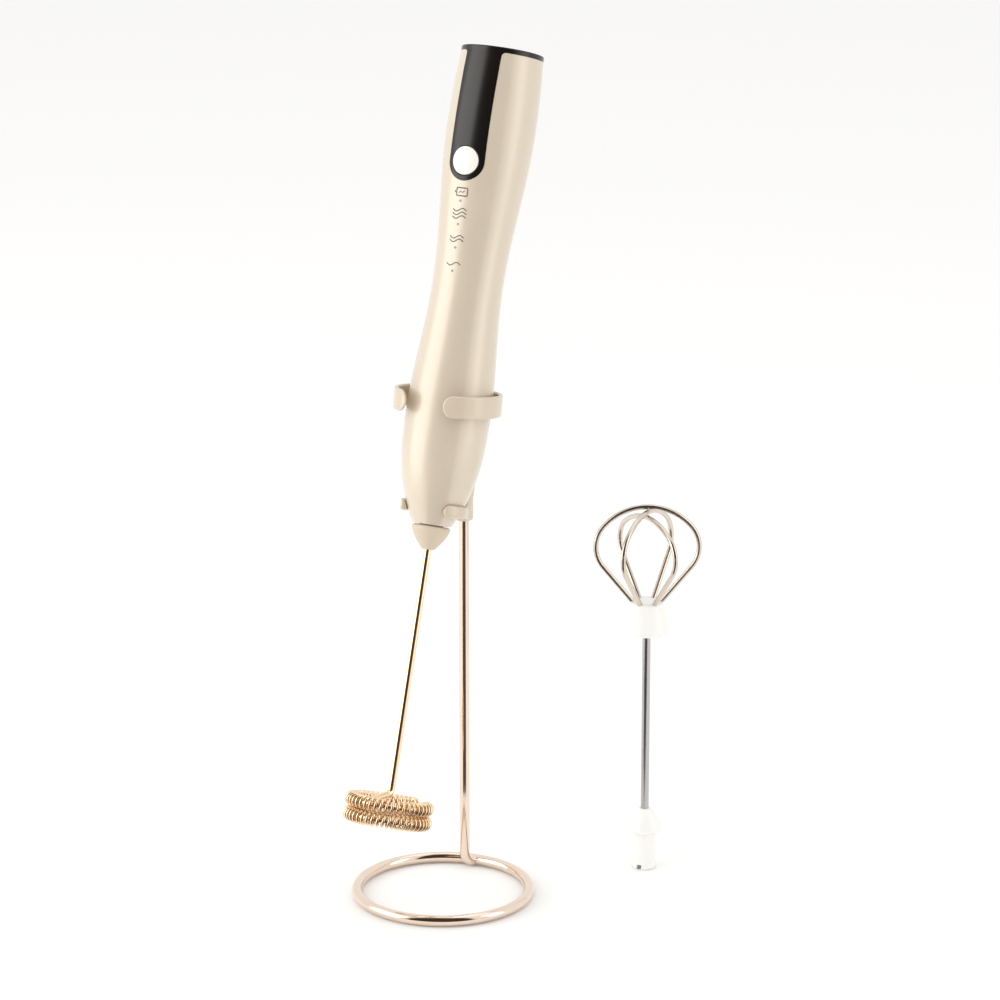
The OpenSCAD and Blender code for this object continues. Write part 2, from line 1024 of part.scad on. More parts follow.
module egg_loop(k) {
    turn = hand_over(k);
    color([0.84, 0.79, 0.72])
        standing()
            rotate([0, 0, 30 + 60 * k])
                union() {
                    for (side = [0, 1])
                        rotate([0, 0, 180 * side]) {
                            loop_leg(k, loop_wire_r);
                            wire_arc(shoulder_x(k), shoulder_z(k), shoulder_r(k), -leg_tilt, turn);
                            wire_joint(k, -leg_tilt);
                            wire_joint(k, turn);
                        }
                    wire_arc(0, loop_top(k) - top_arc_r(k), top_arc_r(k), turn, 180 - turn);
                }
}

module egg_loop_1() {
    egg_loop(0);
}

module egg_loop_2() {
    egg_loop(1);
}

module egg_loop_3() {
    egg_loop(2);
}

base_ring();
stand_rod();
holder();
housing();
panel_cap();
light_guide();
inner_frame();
control_board();
led_1();
led_2();
led_3();
led_4();
tact_switch();
usb_socket();
board_screw_1();
board_screw_2();
battery_cell();
battery_tab_low();
battery_tab_high();
motor_can();
magnet_left();
magnet_right();
front_bearing();
end_bell();
rear_bearing();
brush_left();
brush_right();
lead_red();
lead_black();
shaft_seal();
power_button();
switch_plunger();
motor_shaft();
armature_core();
armature_coil_1();
armature_coil_2();
armature_coil_3();
commutator();
drive_dog();
whisk_hub();
whisk_shaft();
whisk_core();
whisk_spring();
egg_hub();
egg_shaft();
egg_collar();
egg_loop_1();
egg_loop_2();
egg_loop_3();
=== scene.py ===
# %% [markdown]
# # A cordless milk frother in its wire stand
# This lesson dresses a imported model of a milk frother: a pearl plastic handle
# that leans in a two-ring holder, a spring whisk below it, and a balloon whisk
# that stands beside it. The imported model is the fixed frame: its spin joint
# places the handle. Most sizes below repeat the model's own, in millimetres.
# Two don't: the holder's lower ring opens wider, and the spring's wire is its own.

# %% Load the frame
import json
import math

import bmesh
import bpy
import numpy as np
from mathutils import Matrix, Vector


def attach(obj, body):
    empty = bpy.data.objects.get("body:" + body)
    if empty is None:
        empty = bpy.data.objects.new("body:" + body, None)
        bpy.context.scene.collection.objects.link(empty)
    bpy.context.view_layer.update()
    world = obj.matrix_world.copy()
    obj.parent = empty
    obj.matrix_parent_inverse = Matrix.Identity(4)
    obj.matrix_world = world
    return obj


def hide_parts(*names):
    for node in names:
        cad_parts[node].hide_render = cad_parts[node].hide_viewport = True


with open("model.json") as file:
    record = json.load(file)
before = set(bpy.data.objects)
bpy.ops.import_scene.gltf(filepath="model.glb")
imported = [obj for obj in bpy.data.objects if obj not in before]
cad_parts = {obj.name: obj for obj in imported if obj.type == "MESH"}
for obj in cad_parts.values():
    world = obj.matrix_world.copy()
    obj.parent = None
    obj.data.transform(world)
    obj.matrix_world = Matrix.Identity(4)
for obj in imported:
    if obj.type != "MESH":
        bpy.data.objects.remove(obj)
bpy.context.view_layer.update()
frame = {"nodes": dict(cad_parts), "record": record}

JOINTS = {j["name"]: j for j in frame["record"]["behaviour"]["joints"]}

# %% [markdown]
# ## Where the handle leans
# The handle is a turned shape, so it is easiest to draw in its own frame: u to
# the right, v to the back and s up its axis from the seam above the whisk. The
# spin joint of the motor gives that axis and the seam, whatever the lean is.

# %% The handle's own frame
MM = 0.001
SEAM = Vector(JOINTS["whisk_spin"]["pos_m"])
AXIS = Vector(JOINTS["whisk_spin"]["axis"]).normalized()
RIGHT = Vector((1, 0, 0))
BACK = AXIS.cross(RIGHT).normalized()
LEANING = Matrix((
    (RIGHT.x, BACK.x, AXIS.x, SEAM.x),
    (RIGHT.y, BACK.y, AXIS.y, SEAM.y),
    (RIGHT.z, BACK.z, AXIS.z, SEAM.z),
    (0, 0, 0, 1)))
UPRIGHT = Matrix.Identity(4)


def placed(points, place=LEANING):
    """Millimetres in a piece's own frame become metres in the model's frame."""
    turn = np.array(place.to_3x3())
    shift = np.array(place.translation)
    return np.asarray(points, float) * MM @ turn.T + shift


LEAN_DEG = math.degrees(math.acos(AXIS.z))
print(f"the handle leans {LEAN_DEG:.1f} degrees, its seam is {SEAM.z * 1000:.1f} mm up")

# %% [markdown]
# ## Camera, floor and light
# The camera comes first so that every try can be judged. A product like this
# is shot from a little above with a long lens, on one pale sheet, in soft
# light. Bright wire only reads as metal when it has something dark to mirror,
# so the air behind the camera holds a tall dark flag, and a dark card lies on
# the floor in front. Both are seen in gloss alone and don't dim the light.

# %% Camera
CAMERA_TURN = math.radians(29.67)
CAMERA_RISE = math.radians(16.05)
CAMERA_AWAY = 1.2665
LOOK_AT = Vector((0.0221, 0, 0.1413))
LENS = 140.3

aim = Vector((
    math.sin(CAMERA_TURN) * math.cos(CAMERA_RISE),
    -math.cos(CAMERA_TURN) * math.cos(CAMERA_RISE),
    math.sin(CAMERA_RISE)))
camera_data = bpy.data.cameras.new("camera")
camera_data.lens = LENS
camera_data.sensor_width = 36
camera_data.clip_start = 0.01
camera = bpy.data.objects.new("camera", camera_data)
camera.location = LOOK_AT + aim * CAMERA_AWAY
camera.rotation_euler = (-aim).to_track_quat("-Z", "Y").to_euler()
bpy.context.scene.collection.objects.link(camera)
bpy.context.scene.camera = camera
bpy.context.scene.view_settings.view_transform = "Standard"
print(f"camera {CAMERA_AWAY:.2f} m away, lens {LENS:.0f} mm")

# %% [markdown]
# ## A short way to write materials
# A finish is a small graph of nodes. Written node by node it is long to read,
# so one class wraps a socket and lets plain sums add the Math nodes, and one
# function adds any other node, in a finish, in the air or in a shape's tree.


# %% Sums on sockets
class Amount:
    """A number socket that can be added, subtracted and multiplied."""

    def __init__(self, finish, socket):
        self.finish = finish
        self.socket = socket

    def sum_with(self, other, operation, swapped=False):
        pair = (other, self) if swapped else (self, other)
        out = self.finish.node("ShaderNodeMath", {0: pair[0], 1: pair[1]}, operation=operation)
        return Amount(self.finish, out.outputs[0])

    def __add__(self, other):
        return self.sum_with(other, "ADD")

    def __radd__(self, other):
        return self.sum_with(other, "ADD", True)

    def __sub__(self, other):
        return self.sum_with(other, "SUBTRACT")

    def __mul__(self, other):
        return self.sum_with(other, "MULTIPLY")


def step(tree, kind, inputs=None, **settings):
    """Adds one node to a tree, and links or sets its inputs."""
    new = tree.nodes.new(kind)
    for key, value in settings.items():
        setattr(new, key, value)
    for key, value in (inputs or {}).items():
        if isinstance(value, Amount):
            value = value.socket
        if isinstance(value, bpy.types.NodeSocket):
            tree.links.new(value, new.inputs[key])
        else:
            new.inputs[key].default_value = value
    return new


class Finish:
    """One material under construction."""

    def __init__(self, name):
        self.material = bpy.data.materials.new(name)
        self.material.use_nodes = True
        self.tree = self.material.node_tree
        self.tree.nodes.clear()

    def node(self, kind, inputs=None, **settings):
        return step(self.tree, kind, inputs, **settings)

    def spot(self, stretch=(1, 1, 1), turn=(0, 0, 0)):
        """Object coordinates, stretched or turned for a grain."""
        here = self.node("ShaderNodeTexCoord").outputs["Object"]
        return self.node(
            "ShaderNodeMapping", {"Vector": here, "Scale": stretch, "Rotation": turn}
        ).outputs["Vector"]

    def noise(self, scale, detail=2.0, where=None):
        """Cloudy values round one half; scale counts clouds in a metre."""
        out = self.node("ShaderNodeTexNoise", {
            "Vector": where or self.spot(), "Scale": scale, "Detail": detail})
        return Amount(self, out.outputs["Fac"])

    def blend(self, amount, low, high):
        """Mixes two colours by an amount."""
        return self.node(
            "ShaderNodeMix", {0: amount, 6: (*low, 1), 7: (*high, 1)}, data_type="RGBA"
        ).outputs[2]

    def relief(self, height, depth):
        """Surface relief from an amount; depth is in metres."""
        return self.node(
            "ShaderNodeBump", {"Height": height, "Distance": depth, "Strength": 1.0}
        ).outputs["Normal"]

    def surface(self, **inputs):
        named = {key.replace("_", " ").title(): value for key, value in inputs.items()}
        shader = self.node("ShaderNodeBsdfPrincipled", named)
        self.node("ShaderNodeOutputMaterial", {0: shader.outputs[0]})
        return self.material


def shade(tone, factor):
    """A colour made lighter or darker by a plain factor."""
    return tuple(min(1.0, c * factor) for c in tone)


print("material helpers ready")

# %% [markdown]
# ## Studio
# The floor is one wide pale sheet with the faint tooth of paper. Three soft
# panels light it. Everything here is staging and isn't part of the object.

# %% Floor and lights
paper = Finish("studio_paper")
tooth = paper.noise(900.0, 3.0)
PAPER = paper.surface(
    base_color=paper.blend(tooth, (0.93, 0.93, 0.93), (0.97, 0.97, 0.97)),
    roughness=0.9 + tooth * 0.06,
    normal=paper.relief(tooth, 0.00002))

FLOOR_HALF, FLOOR_DROP = 3.0, -0.0002


def sheet(name, points, faces, finish):
    """A flat sheet for the studio, from points in metres."""
    mesh = bpy.data.meshes.new(name)
    mesh.from_pydata(points, [], faces)
    mesh.materials.append(finish)
    flat = bpy.data.objects.new(name, mesh)
    bpy.context.scene.collection.objects.link(flat)
    return flat


floor = sheet("studio_floor", [
    (x * FLOOR_HALF, y * FLOOR_HALF, 0) for x, y in ((-1, -1), (1, -1), (1, 1), (-1, 1))
], [(0, 1, 2, 3)], PAPER)
floor.location.z = FLOOR_DROP


def light_panel(name, place, size, power, tone=(1, 1, 1), look=(0.0, 0.0, 0.13)):
    """A soft panel of light that faces the frother."""
    data = bpy.data.lights.new(name, "AREA")
    data.shape = "RECTANGLE"
    data.size, data.size_y = size
    data.energy = power
    data.color = tone
    panel = bpy.data.objects.new(name, data)
    panel.location = place
    panel.rotation_euler = (Vector(look) - Vector(place)).to_track_quat("-Z", "Y").to_euler()
    bpy.context.scene.collection.objects.link(panel)
    return panel


light_panel("key_panel", (-0.75, -0.70, 0.42), (0.95, 1.1), 5.6, (1.0, 0.985, 0.96))
light_panel("side_panel", (1.0, 0.15, 0.42), (0.40, 1.0), 1.4, (1.0, 0.98, 0.95))
light_panel("top_panel", (0.05, 0.2, 1.3), (0.9, 0.9), 0.9)

# A dark card on the floor, in front of the view: only gloss sees it.
CARD_NEAR, CARD_FAR = 0.075, 1.9
CARD_HALF, CARD_STEPS = math.radians(36), 8
CARD_X, CARD_Y, CARD_Z = -0.0056, 0.024, 0.0003
CARD_TONE = (0.05, 0.034, 0.026)
card_finish = Finish("dark_card")
fibre = card_finish.noise(700.0, 3.0)
CARD = card_finish.surface(
    base_color=card_finish.blend(fibre, shade(CARD_TONE, 0.9), shade(CARD_TONE, 1.1)),
    roughness=0.9 + fibre * 0.05)
card_points = []
for reach in (CARD_NEAR, CARD_FAR):
    for side in np.linspace(-CARD_HALF, CARD_HALF, CARD_STEPS + 1):
        at = CAMERA_TURN + side
        card_points.append((
            math.sin(at) * reach + CARD_X, -math.cos(at) * reach + CARD_Y, CARD_Z))
next_row = CARD_STEPS + 1
card = sheet("dark_card", card_points, [
    (k, k + 1, k + 1 + next_row, k + next_row) for k in range(CARD_STEPS)], CARD)
for rays in ("camera", "diffuse", "shadow", "transmission"):
    setattr(card, f"visible_{rays}", False)

sky = bpy.data.worlds.new("studio_air")
bpy.context.scene.world = sky
sky.use_nodes = True
air = sky.node_tree
air.nodes.clear()

# What the pieces mirror: pale air with one tall dark flag behind the camera.
FLAG_TURN = CAMERA_TURN - math.radians(3)
FLAG_EDGES = (0.70, 0.80)
FLAG_TONE, AIR_TONE = (0.055, 0.036, 0.026), (0.98, 0.975, 0.96)
where = step(air, "ShaderNodeTexCoord").outputs["Generated"]
level = step(
    air, "ShaderNodeVectorMath", {0: where, 1: (1, 1, 0)}, operation="MULTIPLY").outputs[0]
level = step(air, "ShaderNodeVectorMath", {0: level}, operation="NORMALIZE").outputs[0]
facing = step(
    air, "ShaderNodeVectorMath",
    {0: level, 1: (math.sin(FLAG_TURN), -math.cos(FLAG_TURN), 0)},
    operation="DOT_PRODUCT").outputs["Value"]
flag = step(air, "ShaderNodeMapRange", {0: facing, 1: FLAG_EDGES[0], 2: FLAG_EDGES[1]})
flag.interpolation_type = "SMOOTHSTEP"
seen = step(air, "ShaderNodeLightPath")
in_gloss = step(
    air, "ShaderNodeMath", {0: flag.outputs[0], 1: seen.outputs["Is Glossy Ray"]}, operation="MULTIPLY")
tone = step(
    air, "ShaderNodeMix", {0: in_gloss.outputs[0], 6: (*AIR_TONE, 1), 7: (*FLAG_TONE, 1)},
    data_type="RGBA")
pick = step(
    air, "ShaderNodeMix", {0: seen.outputs["Is Camera Ray"], 6: tone.outputs[2], 7: (1, 1, 1, 1)},
    data_type="RGBA")
glow = step(air, "ShaderNodeBackground", {0: pick.outputs[2], 1: 1.0})
step(air, "ShaderNodeOutputWorld", {0: glow.outputs[0]})
print("studio: floor, 3 panels, dark card, air with a flag")

# %% [markdown]
# ## Finishes
# The handle is moulded in pearl plastic: a champagne base with fine mica and a
# clear gloss over it. The strip is piano black. Button and holder are cream
# plastic. The stand and the whisk are bright wire with a warm tint, which comes
# from a thin tinted plating, and drawn wire keeps faint lines along its length.


# %% Plastics
def moulded(name, tone, rough, coat=0.0, mica=0.0, grain=0.00001, cloud=0.02, gloss=0.08):
    """Moulded plastic: faint flow clouds, fine skin, optional mica and gloss."""
    f = Finish(name)
    flow = f.noise(55.0, 3.0)
    skin = f.noise(3200.0, 2.0)
    colour = f.blend(flow, shade(tone, 1 - cloud), shade(tone, 1 + cloud))
    inputs = dict(
        base_color=colour,
        roughness=rough + (flow - 0.5) * 0.06 + (skin - 0.5) * 0.03,
        normal=f.relief(skin, grain))
    if coat:
        inputs.update(coat_weight=coat, coat_roughness=gloss)
    if mica:
        flake = f.node("ShaderNodeTexVoronoi", {"Vector": f.spot(), "Scale": 5200.0})
        glint = f.node("ShaderNodeSeparateColor", {0: flake.outputs["Color"]})
        glint = Amount(f, glint.outputs[0])
        inputs.update(metallic=mica * 0.6 + glint * mica * 0.8)
    return f.surface(**inputs)


PEARL = moulded("pearl_shell", (0.655, 0.565, 0.445), 0.34, coat=1.0, mica=0.14, gloss=0.24)
BLACK = moulded("piano_black", (0.007, 0.005, 0.004), 0.24, coat=0.04, gloss=0.2)
CREAM = moulded("cream_button", (0.80, 0.775, 0.725), 0.32, coat=0.25)
HOLDER = moulded("cream_holder", (0.62, 0.525, 0.41), 0.30, coat=0.6, mica=0.06)
HUB = moulded("beige_hub", (0.62, 0.52, 0.40), 0.42, coat=0.12)
WHITE = moulded("white_hub", (0.88, 0.87, 0.84), 0.36, coat=0.2)
INK = moulded("grey_print", (0.16, 0.145, 0.13), 0.55)
LENS_GREY = moulded("light_lens", (0.30, 0.27, 0.24), 0.25, coat=0.5)
CHASSIS = moulded("chassis_plastic", (0.045, 0.048, 0.055), 0.55)
NYLON = moulded("nylon", (0.80, 0.79, 0.74), 0.5)
SWITCH = moulded("switch_plastic", (0.02, 0.02, 0.022), 0.5)
RUBBER = moulded("seal_rubber", (0.018, 0.018, 0.018), 0.75, grain=0.00002)
RED_LEAD = moulded("red_lead", (0.48, 0.012, 0.010), 0.45)
BLACK_LEAD = moulded("black_lead", (0.012, 0.012, 0.012), 0.45)
LED_RESIN = moulded("led_resin", (0.82, 0.74, 0.32), 0.2, coat=0.5)
CELL_WRAP = moulded("cell_wrap", (0.03, 0.12, 0.33), 0.25, coat=0.6)
print("plastics ready")


# %% Metals
def drawn_metal(name, tone, rough, along=(1, 1, 1), turn=(0, 0, 0), marks=0.05, relief=0.000004):
    """Metal with faint drawing marks; a small number in along stretches them."""
    f = Finish(name)
    lines = f.noise(2600.0, 3.0, f.spot(along, turn))
    stain = f.noise(70.0, 2.0)
    return f.surface(
        base_color=f.blend(stain, shade(tone, 0.95), shade(tone, 1.04)),
        metallic=1.0,
        roughness=rough + (lines - 0.5) * marks + (stain - 0.5) * 0.03,
        normal=f.relief(lines, relief))


STAND_WIRE = drawn_metal("champagne_wire", (0.86, 0.72, 0.61), 0.10, (1, 1, 0.06))
WHISK_WIRE = drawn_metal(
    "gold_wire", (0.96, 0.74, 0.50), 0.12, (1, 1, 0.06), (math.radians(LEAN_DEG), 0, 0))
EGG_WIRE = drawn_metal("beige_steel", (0.70, 0.63, 0.55), 0.16)
EGG_SHAFT = drawn_metal("grey_steel", (0.50, 0.49, 0.50), 0.22, (1, 1, 0.05))
PLATED = drawn_metal("plated_tin", (0.72, 0.73, 0.75), 0.28)
NICKEL = drawn_metal("nickel_strip", (0.68, 0.66, 0.60), 0.30, (1, 0.1, 1))
MOTOR_STEEL = drawn_metal("motor_steel", (0.62, 0.63, 0.65), 0.32, (1, 1, 6))
FERRITE = drawn_metal("ferrite", (0.10, 0.10, 0.11), 0.55, relief=0.00002)
BRONZE = drawn_metal("sintered_bronze", (0.55, 0.36, 0.16), 0.45, relief=0.00002)
COPPER = drawn_metal("enamelled_copper", (0.72, 0.30, 0.12), 0.30, (1, 1, 8))
GROUND_STEEL = drawn_metal("ground_steel", (0.66, 0.66, 0.67), 0.20, (1, 1, 8))
print("metals ready")


# %% Board laminate
board_finish = Finish("board_laminate")
weave = board_finish.node("ShaderNodeTexBrick", {
    "Vector": board_finish.spot(), "Scale": 260.0,
    "Color1": (0.010, 0.10, 0.045, 1), "Color2": (0.014, 0.13, 0.06, 1),
    "Mortar": (0.03, 0.22, 0.10, 1), "Mortar Size": 0.04})
mask = board_finish.noise(1400.0)
BOARD = board_finish.surface(
    base_color=weave.outputs["Color"], roughness=0.32 + mask * 0.1,
    normal=board_finish.relief(mask, 0.00001))
print("board finish ready")

# %% [markdown]
# ## Making and finishing a mesh
# Every shape below ends as one plain mesh whose object sits at the origin.
# Sheets are drawn as grids of points. Where a moulding has a wall, a Solidify
# modifier gives it, and a small Bevel rounds its edges as a mould does, with
# Weighted Normal to keep the large faces calm.


# %% Mesh helpers
def link(obj):
    bpy.context.scene.collection.objects.link(obj)
    return obj


def piece(name, points, faces, finish, place=LEANING, recalc=True):
    """A mesh object from points in millimetres; doubles merged, faces outward."""
    mesh = bpy.data.meshes.new(name)
    mesh.from_pydata([tuple(p) for p in placed(points, place)], [], faces)
    made = bmesh.new()
    made.from_mesh(mesh)
    bmesh.ops.remove_doubles(made, verts=made.verts, dist=0.000002)
    bmesh.ops.dissolve_degenerate(made, edges=made.edges, dist=0.0000005)
    if recalc:
        bmesh.ops.recalc_face_normals(made, faces=made.faces)
    made.to_mesh(mesh)
    made.free()
    for poly in mesh.polygons:
        poly.use_smooth = True
    mesh.materials.append(finish)
    return link(bpy.data.objects.new(name, mesh))


def settle(obj):
    """Turns an object with modifiers into the plain mesh they make."""
    graph = bpy.context.evaluated_depsgraph_get()
    made = bpy.data.meshes.new_from_object(obj.evaluated_get(graph))
    old = obj.data
    obj.modifiers.clear()
    obj.data = made
    bpy.data.meshes.remove(old)
    return obj


def mould(obj, wall=None, edge=0.2, steps=3, angle=50):
    """Gives a sheet its wall and rounds the edges."""
    if wall:
        solid = obj.modifiers.new("wall", "SOLIDIFY")
        solid.thickness = wall * MM
        solid.offset = -1
        solid.use_even_offset = True
    if edge:
        round_off = obj.modifiers.new("edge", "BEVEL")
        round_off.width = edge * MM
        round_off.segments = steps
        round_off.limit_method = "ANGLE"
        round_off.angle_limit = math.radians(angle)
        round_off.use_clamp_overlap = True
        calm = obj.modifiers.new("calm", "WEIGHTED_NORMAL")
        calm.keep_sharp = False
        calm.weight = 60
    return settle(obj)


def grid(rows):
    """Faces between rows of equally many points, given as one list of points."""
    count = len(rows[0])
    faces = []
    for r in range(len(rows) - 1):
        for c in range(count - 1):
            a = r * count + c
            faces.append((a, a + 1, a + count + 1, a + count))
    return [p for row in rows for p in row], faces


def together(*sheets):
    """Several (points, faces) sheets as one."""
    points, faces = [], []
    for more, their in sheets:
        base = len(points)
        points += [tuple(p) for p in more]
        faces += [tuple(i + base for i in face) for face in their]
    return points, faces


def turned(profile, count=96, start=0.0):
    """A shape turned round the s axis from (radius, height) points."""
    rows = []
    for k in range(count + 1):
        a = start + 2 * math.pi * (k % count) / count
        rows.append([(r * math.cos(a), r * math.sin(a), s) for r, s in profile])
    return grid(rows)


def cut_with(obj, points, faces, place=LEANING):
    """Takes a closed cutter shape away from a piece."""
    cutter = piece("cutter", points, faces, obj.data.materials[0], place)
    cut = obj.modifiers.new("cut", "BOOLEAN")
    cut.operation = "DIFFERENCE"
    cut.solver = "EXACT"
    cut.object = cutter
    settle(obj)
    left = cutter.data
    bpy.data.objects.remove(cutter)
    bpy.data.meshes.remove(left)
    return obj


def merged(name, *objs):
    """Joins finished pieces of one material into the first one."""
    whole = bmesh.new()
    for o in objs:
        whole.from_mesh(o.data)
    target = objs[0]
    whole.to_mesh(target.data)
    whole.free()
    for o in objs[1:]:
        bpy.data.objects.remove(o)
    target.name = name
    target.data.name = name
    return target


def box_points(lo, hi):
    (x0, y0, z0), (x1, y1, z1) = lo, hi
    points = [(x, y, z) for z in (z0, z1) for y in (y0, y1) for x in (x0, x1)]
    faces = [(0, 2, 3, 1), (4, 5, 7, 6), (0, 1, 5, 4), (2, 6, 7, 3), (0, 4, 6, 2), (1, 3, 7, 5)]
    return points, faces


def report(obj):
    size = [1000 * d for d in obj.dimensions]
    print(f"{obj.name}: {len(obj.data.polygons)} faces, {size[0]:.1f} x {size[1]:.1f} x {size[2]:.1f} mm")
    return obj


# %% [markdown]
# ## The line of the handle
# The housing swells, narrows to a waist for the fingers and swells again near
# the top. One function gives its radius at any height, and everything that
# lies on it (strip, button, printed marks) asks the same function, so all of
# it follows the curve exactly.

# %% Radius of the housing
HOUSING_LEN = 155.9
NOSE_R, LOW_R, WAIST_R, HIGH_R, TOP_R = 6.5, 14.1, 11.7, 14.7, 13.7
LOW_S, WAIST_S, HIGH_S = 37, 80, 132
MOUTH_R = 4.3
WALL = 2.0


def body_r(s):
    if s <= LOW_S:
        return NOSE_R + (LOW_R - NOSE_R) * (1 - (1 - max(s, 0) / LOW_S) ** 2.7)
    if s <= WAIST_S:
        t = (s - LOW_S) / (WAIST_S - LOW_S)
        return LOW_R + (WAIST_R - LOW_R) * (1 - math.cos(math.pi * t)) / 2
    if s <= HIGH_S:
        t = (s - WAIST_S) / (HIGH_S - WAIST_S)
        return WAIST_R + (HIGH_R - WAIST_R) * (1 - math.cos(math.pi * t)) / 2
    return HIGH_R - (HIGH_R - TOP_R) * ((min(s, HOUSING_LEN) - HIGH_S) / (HOUSING_LEN - HIGH_S)) ** 2


def on_body(x, s, lift=0.0):
    """Point on the front of the handle, x to the right and s up, lifted off it."""
    r = body_r(s)
    a = math.asin(max(-1, min(1, x / r)))
    return ((r + lift) * math.sin(a), -(r + lift) * math.cos(a), s)


def at_radius(r, s, angles):
    """Points round the axis; angle 0 is the front, turning to the right."""
    return [(r * math.sin(a), -r * math.cos(a), s) for a in angles]


print("radius at seam, waist, top:", body_r(0), round(body_r(WAIST_S), 2), body_r(HOUSING_LEN))

# %% [markdown]
# ## Housing
# The housing is one moulding with an opening for the black strip. A cut made
# with a Boolean would leave long thin faces that spoil the gloss, so the grid
# is laid round the opening from the start: a U of quads hugs the strip, a
# plain grid closes the back, and rings run down to the mouth at the nose.

# %% Outline of the strip
STRIP_W = 6.5
BUTTON_S = 119.4
FLARE = 1.2
FRAME_X = 9.5
SIDE_STEPS = 30
ROUND_STEPS = 48
BACK_STEPS = 72


def strip_half(s):
    """Half width of the strip, with a small fillet where it meets the cap."""
    up = s - (HOUSING_LEN - FLARE)
    if up <= 0:
        return STRIP_W
    up = min(up, FLARE)
    return STRIP_W + FLARE - math.sqrt(max(FLARE ** 2 - up ** 2, 0.0))


def side_heights():
    """Heights down one side of the strip, close together in the fillet."""
    fillet = [HOUSING_LEN - FLARE * (1 - math.cos(k * math.pi / 12)) for k in range(7)]
    straight = np.linspace(HOUSING_LEN - FLARE, BUTTON_S, SIDE_STEPS)
    return fillet[:-1] + [float(s) for s in straight]


def u_edge(side, reach):
    """A U round the strip from side(height), and reach(angle) round its foot."""
    down = side_heights()
    left = [(-side(s), s) for s in down]
    low = []
    for k in range(1, ROUND_STEPS):
        a = math.pi + math.pi * k / ROUND_STEPS
        low.append((reach(a) * math.cos(a), BUTTON_S + reach(a) * math.sin(a)))
    right = [(side(s), s) for s in reversed(down)]
    return left + low + right


def to_square(a, half):
    """Distance from the middle of a square to its side, in direction a."""
    return half / max(abs(math.cos(a)), abs(math.sin(a)))


# %% Housing mesh
SEAM_GAP = 0.07
inner = u_edge(lambda s: strip_half(s) + SEAM_GAP, lambda a: STRIP_W + SEAM_GAP)
outer = u_edge(lambda s: FRAME_X, lambda a: to_square(a, FRAME_X))
front_rows = []
for t in (0, 0.06, 0.2, 0.4, 0.7, 1.0):
    front_rows.append([
        on_body(a[0] + (b[0] - a[0]) * t, a[1] + (b[1] - a[1]) * t)
        for a, b in zip(inner, outer)])
front_sheet = grid(front_rows)

left_side = [p for p in outer if abs(p[0] + FRAME_X) < 1e-6]
back_rows = []
for x, s in left_side:
    start = math.asin(FRAME_X / body_r(s))
    back_rows.append(at_radius(body_r(s), s, [
        start + (2 * math.pi - 2 * start) * k / BACK_STEPS for k in range(BACK_STEPS + 1)]))
back_sheet = grid(back_rows)

FRAME_S = left_side[-1][1]
base_line = [p for p in outer if abs(p[1] - FRAME_S) < 1e-6]
open_angle = math.asin(FRAME_X / body_r(FRAME_S))
ring_angles = [math.asin(x / body_r(FRAME_S)) for x, _ in base_line]
ring_angles += [
    open_angle + (2 * math.pi - 2 * open_angle) * k / BACK_STEPS for k in range(1, BACK_STEPS + 1)]
NOSE_EDGE = 0.35
ring_rows = []
for s in list(np.linspace(FRAME_S, 20, 72)) + list(np.linspace(20, NOSE_EDGE, 24)[1:]):
    ring_rows.append(at_radius(body_r(s), s, ring_angles))
for k in range(1, 5):
    a = k * math.pi / 8
    r = body_r(NOSE_EDGE) - NOSE_EDGE * (1 - math.cos(a)) * 1.2
    s = NOSE_EDGE * (1 - math.sin(a))
    ring_rows.append(at_radius(r, s, ring_angles))
for r, s in ((5.2, 0), (MOUTH_R + 0.2, 0), (MOUTH_R, 0.2), (MOUTH_R, 6), (MOUTH_R, 12), (MOUTH_R, 18)):
    ring_rows.append(at_radius(r, s, ring_angles))
ring_sheet = grid(ring_rows)

housing = piece("housing_shell", *together(front_sheet, back_sheet, ring_sheet), PEARL)
mould(housing, WALL, 0.12, 2)
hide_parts("housing")
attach(housing, "handle")
report(housing)

# %% [markdown]
# ## Cap and strip
# The black cap and the strip are one moulding, pushed in from above: a lid on
# the housing with a tongue down its front. The tongue's sheet and the lid's
# side share points, so there is no line between them, as in one moulding.

# %% Cap and strip mesh
CAP_T = 1.8
CAP_EDGE = 0.45
CAP_RISE = 0.7
HOLE_R = 4.98
STRIP_LIFT = 0.10
corner_fan = [0.0, 0.25, 0.5, 0.72, 0.86, 0.95, 1.0]
column_x = [-f for f in reversed(corner_fan)] + corner_fan[1:]


def hole_point(direction, radius):
    return (radius * math.cos(direction), BUTTON_S + radius * math.sin(direction))


directions = [math.atan2(1, x) for x in reversed(column_x)]
directions += [math.atan2(y, -1) % (2 * math.pi) for y in reversed(corner_fan[:-1])]
directions += [math.pi + math.pi * k / ROUND_STEPS for k in range(1, ROUND_STEPS)]
directions += [math.atan2(y, 1) for y in corner_fan]
lobe_rows = []
for t in (0, 0.08, 0.3, 0.6, 0.9, 1.0):
    row = []
    for d in directions:
        reach = STRIP_W
        if math.sin(d) > 0:
            reach = to_square(d, STRIP_W)
        near, far = hole_point(d, HOLE_R), hole_point(d, reach)
        row.append(on_body(near[0] + (far[0] - near[0]) * t, near[1] + (far[1] - near[1]) * t, STRIP_LIFT))
    lobe_rows.append(row)
lobe_sheet = grid(lobe_rows)

strip_rows = []
tongue_heights = [float(s) for s in np.linspace(BUTTON_S + STRIP_W, HOUSING_LEN - FLARE, 22)]
tongue_heights += [HOUSING_LEN - FLARE * (1 - math.cos(k * math.pi / 12)) for k in range(5, -1, -1)]
for s in tongue_heights:
    fade = max(0.0, min(1.0, (HOUSING_LEN - s) / 6))
    strip_rows.append([on_body(strip_half(s) * x, s, STRIP_LIFT * fade) for x in column_x])
tongue_sheet = grid(strip_rows)

